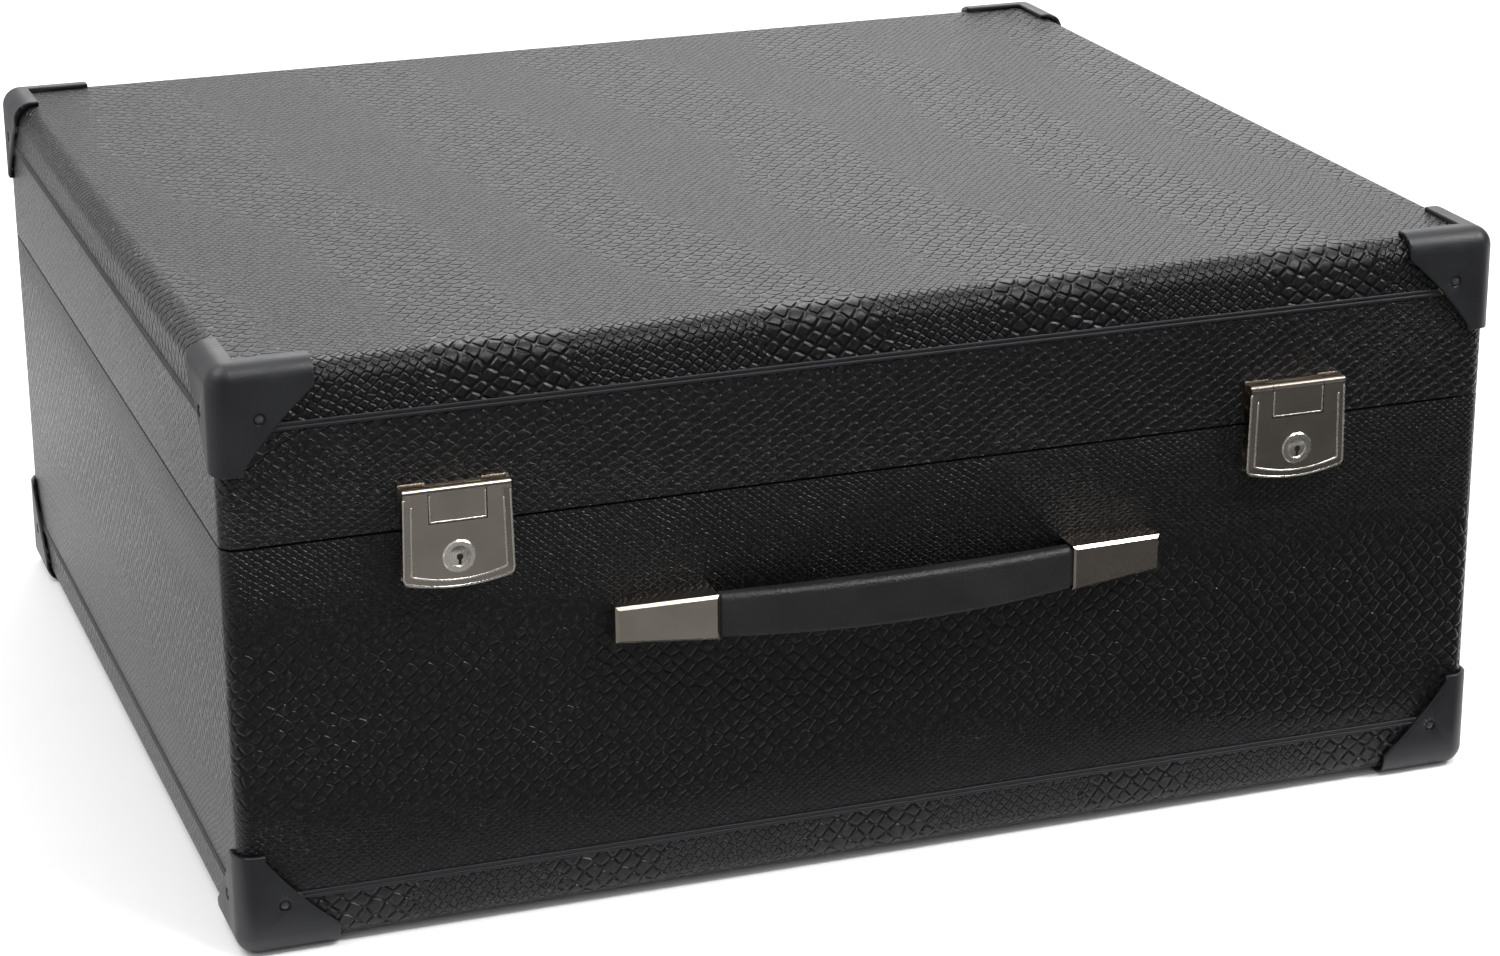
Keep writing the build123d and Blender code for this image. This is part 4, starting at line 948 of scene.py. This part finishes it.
def cushion(name, box, face, crown, body):
    """A crowned pad in a box. face is +1 if its free face is up and -1 if it is down."""
    (x0, y0, z0), (x1, y1, z1) = box
    half = np.array([(x1 - x0) / 2, (y1 - y0) / 2])
    middle = np.array([(x1 + x0) / 2, (y1 + y0) / 2])
    u = np.sin(np.linspace(-pi / 2, pi / 2, 90))[:, None]
    v = np.sin(np.linspace(-pi / 2, pi / 2, 80))[None, :]
    x = middle[0] + u * (half[0] - PAD_DRAW * np.cos(v * pi / 2) ** 2)
    y = middle[1] + v * (half[1] - PAD_DRAW * np.cos(u * pi / 2) ** 2)
    edge = np.minimum((1 - np.abs(u)) * half[0], (1 - np.abs(v)) * half[1])
    lift = np.clip(edge / PAD_RIM, 0, 1)
    lift = np.sqrt(np.clip(1 - (1 - lift) ** 2, 0, 1))
    dome = (1 - np.abs(u) ** 4) * (1 - np.abs(v) ** 4)
    wave = np.sin(31 * u + 9 * v) * np.sin(23 * v - 7 * u) * 0.12
    wave = wave + np.sin(11 * v + 4 * u * u) * 0.1
    high = (z1 - z0 - crown) * lift + crown * dome * (0.78 + wave)
    seat = z0 if face > 0 else z1
    free, back = (np.stack(np.broadcast_arrays(x, y, z), -1)
                  for z in (seat + face * high, np.full_like(high, seat)))
    sides = [np.stack([free[k], back[k]]) for k in (0, -1)]
    sides += [np.stack([free[:, k], back[:, k]]) for k in (0, -1)]
    piece = grid_piece(name, [plain(P) for P in [free, back] + sides])
    finish_piece(piece, body, "plush", plush_finish)
    return piece


floor_pad = cushion("base_floor_cushion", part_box("base_floor_pad"), 1, 2.5 * MM, "base")
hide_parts("base_floor_pad")
top_pad = cushion("lid_top_cushion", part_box("lid_top_pad"), -1, 3.0 * MM, "lid")
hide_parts("lid_top_pad")

# %% Wall linings
LINING_THICK, LINING_RIM = 5 * MM, 3 * MM


def lining(name, node, body):
    """Four thin strips against the boards.

    thickness = t puff sqrt(1 - (1 - e / rim)^2), where e is the distance to the strip's edge, so
    the edges roll off, and puff is a slow wave.
    """
    (x0, y0, z0), (x1, y1, z1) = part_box(node)
    z = np.linspace(z0, z1, 24)
    edge_z = np.minimum(z - z0, z1 - z)
    grids = []
    for axis, out in ((0, -1), (0, 1), (1, -1), (1, 1)):
        start, end = ((x0, x1), (y0 + LINING_THICK, y1 - LINING_THICK))[axis]
        run = start + (end - start) * (1 - np.cos(np.linspace(0, pi, 120))) / 2
        edge = np.minimum(np.minimum(run - start, end - run)[:, None], edge_z[None, :])
        soft = np.sqrt(np.clip(1 - (1 - np.clip(edge / LINING_RIM, 0, 1)) ** 2, 0, 1))
        puff = 0.9 + 0.08 * np.sin(run * 60)[:, None] * np.sin(z * 90)[None, :]
        wall = ((y0, y1), (x0, x1))[axis][0 if out < 0 else 1]
        face = wall - out * LINING_THICK * soft * puff
        for depth in (face, np.full_like(face, wall)):
            P = np.empty(depth.shape + (3,))
            P[..., axis] = run[:, None]
            P[..., 1 - axis] = depth
            P[..., 2] = z[None, :]
            grids.append(plain(P))
    piece = grid_piece(name, grids)
    finish_piece(piece, body, "plush", plush_finish, node)
    return piece


lining("base_wall_plush", "base_wall_lining", "base")
lining("lid_wall_plush", "lid_wall_lining", "lid")

# %% [markdown]
# ## Camera
# The camera was found by fitting a pinhole camera to the straight edges in the photograph. It
# stands to the left of the case and looks down on it.

# %% Camera
FOCAL, PHOTO_WIDE, SENSOR = 3741, 1500, 36      # focal length and photo in pixels, sensor in mm
yaw, pitch, roll = radians(19.57), radians(19.51), radians(-0.398)
ahead = Vector((sin(yaw) * cos(pitch), cos(yaw) * cos(pitch), -sin(pitch)))
right = Vector((cos(yaw), -sin(yaw), 0))
up = right.cross(ahead)
axis_x = cos(roll) * right + sin(roll) * up
axis_y = -sin(roll) * right + cos(roll) * up
lens = bpy.data.cameras.new("camera")
lens.sensor_width = SENSOR
lens.lens = FOCAL / PHOTO_WIDE * SENSOR
lens.clip_end = 60
camera = put("camera", lens)
turn = Matrix((axis_x, axis_y, -ahead)).transposed().to_4x4()
camera.matrix_world = Matrix.Translation((-0.54354, -1.60140, 0.69113)) @ turn
bpy.context.scene.camera = camera

# %% [markdown]
# ## Studio
# A pale floor, soft lamps and a white room. Black leatherette and nickel show mostly what they
# mirror, so the room is bright behind, above and to the left of the case and dim in front. Cards
# lie in front and to the left, where only mirrored rays meet them, as a photographer lays them.

# %% Floor
FLOOR_HALF = 9
PALE_LOW, PALE_HIGH = (0.95, 0.95, 0.95, 1), (0.975, 0.975, 0.975, 1)


def flat_mesh(name, x0, x1, y0, y1, z):
    """One level rectangle."""
    mesh = bpy.data.meshes.new(name)
    mesh.from_pydata([(x0, y0, z), (x1, y0, z), (x1, y1, z), (x0, y1, z)], [], [(0, 1, 2, 3)])
    return mesh


floor_mesh = flat_mesh("floor", -FLOOR_HALF, FLOOR_HALF, -FLOOR_HALF, FLOOR_HALF, 0)
floor = put("floor", floor_mesh)
floor_finish, floor_shader = new_finish("floor", Roughness=0.9, Specular_IOR_Level=0.1)
dust = noise(floor_finish, place(floor_finish), 30.0, 3.0)
pale = mix_colour(floor_finish, dust, PALE_LOW, PALE_HIGH)
wire(floor_finish, floor_shader.inputs["Base Color"], pale)

# Far from the case the camera sees through the floor to the white room, so no horizon shows.
away = vectors(floor_finish, "LENGTH", place(floor_finish))
seen = add(floor_finish, "ShaderNodeLightPath")
fade = maths(floor_finish, "MULTIPLY", ramp(floor_finish, away, 1.2, 2.2), seen)
clear = add(floor_finish, "ShaderNodeBsdfTransparent")
faded = add(floor_finish, "ShaderNodeMixShader", fade, floor_shader.outputs["BSDF"], clear)
wire(floor_finish, floor_finish.node_tree.nodes["Material Output"].inputs["Surface"], faded)
floor_mesh.materials.append(floor_finish)


# %% Cards
def card(name, x0, x1, y0, y1, near, far, start, stop):
    """A card just above the floor that only mirrored rays meet.

    Its grey turns from near to far over x = start to stop.
    """
    mesh = flat_mesh(name, x0, x1, y0, y1, 4 * MM)
    thing = put(name, mesh)
    thing.visible_camera = thing.visible_diffuse = False
    thing.visible_shadow = thing.visible_transmission = False
    finish, shader = new_finish(name, Roughness=0.9, Specular_IOR_Level=0.1)
    here = place(finish)
    felt = maths(finish, "MULTIPLY", noise(finish, here, 40.0, 3.0), 0.2)
    sideways = ramp(finish, add(finish, "ShaderNodeSeparateXYZ", here), start, stop)
    share = maths(finish, "ADD", sideways, felt)
    tone = mix_colour(finish, share, (near, near, near, 1), (far, far, far, 1))
    wire(finish, shader.inputs["Base Color"], tone)
    mesh.materials.append(finish)


card("front_card", -1.4, 1.8, -2.6, -0.262, 0.17, 0.04, -0.15, 0.38)
card("side_card", -1.6, -0.30, -0.262, 2.6, 0.95, 0.28, -0.345, -0.43)


# %% Lamps
def lamp(name, spot, aim, size, power):
    """A square lamp at a spot, turned to an aim; size in metres, power in watts."""
    light = bpy.data.lights.new(name, "AREA")
    light.shape, light.size, light.energy = "SQUARE", size, power
    turn = (Vector(spot) - Vector(aim)).to_track_quat("Z", "Y").to_matrix().to_4x4()
    put(name, light).matrix_world = Matrix.Translation(spot) @ turn


lamp("key", (-1.6, 0.2, 2.8), (0, 0, 0.1), 1.8, 50)
lamp("back", (0.6, 2.4, 2.2), (0, 0, 0.2), 2.0, 40)
lamp("right", (1.6, -0.9, 1.8), (0, -0.2, 0.15), 0.55, 30)
lamp("overhead", (0.35, -0.95, 1.9), (0, -0.2, 0.15), 0.4, 14)

# %% Room
# Mirrored rays meet brightness = step(d . toward) * map(d.x), where d is the ray's way. Diffuse
# rays meet 0.80, and the camera sees plain white.
TOWARD = (-0.42, 0.78, 0.46)
room = bpy.data.worlds.new("room")
bpy.context.scene.world = room
room.use_nodes = True
rays = add(room, "ShaderNodeLightPath").node.outputs
way = place(room, "Generated")
glow = ramp(room, vectors(room, "DOT_PRODUCT", way, TOWARD), -0.12, 0.52, 0.07, 1.0)
way_x = add(room, "ShaderNodeSeparateXYZ", way)
rightward = ramp(room, way_x, 0.10, 0.46, 0.76, 1.42, kind="LINEAR")
mirrored = maths(room, "MULTIPLY", glow, rightward)
strength = add(room, "ShaderNodeMix", rays["Is Glossy Ray"], 0.80, mirrored)
strength = add(room, "ShaderNodeMix", rays["Is Camera Ray"], strength, 1.0)
strength = add(room, "ShaderNodeMix", rays["Is Transmission Ray"], strength, 1.0)
background = room.node_tree.nodes["Background"]
wire(room, background.inputs["Strength"], strength)
background.inputs["Color"].default_value = (1, 1, 1, 1)
bpy.context.scene.view_settings.view_transform = "Standard"
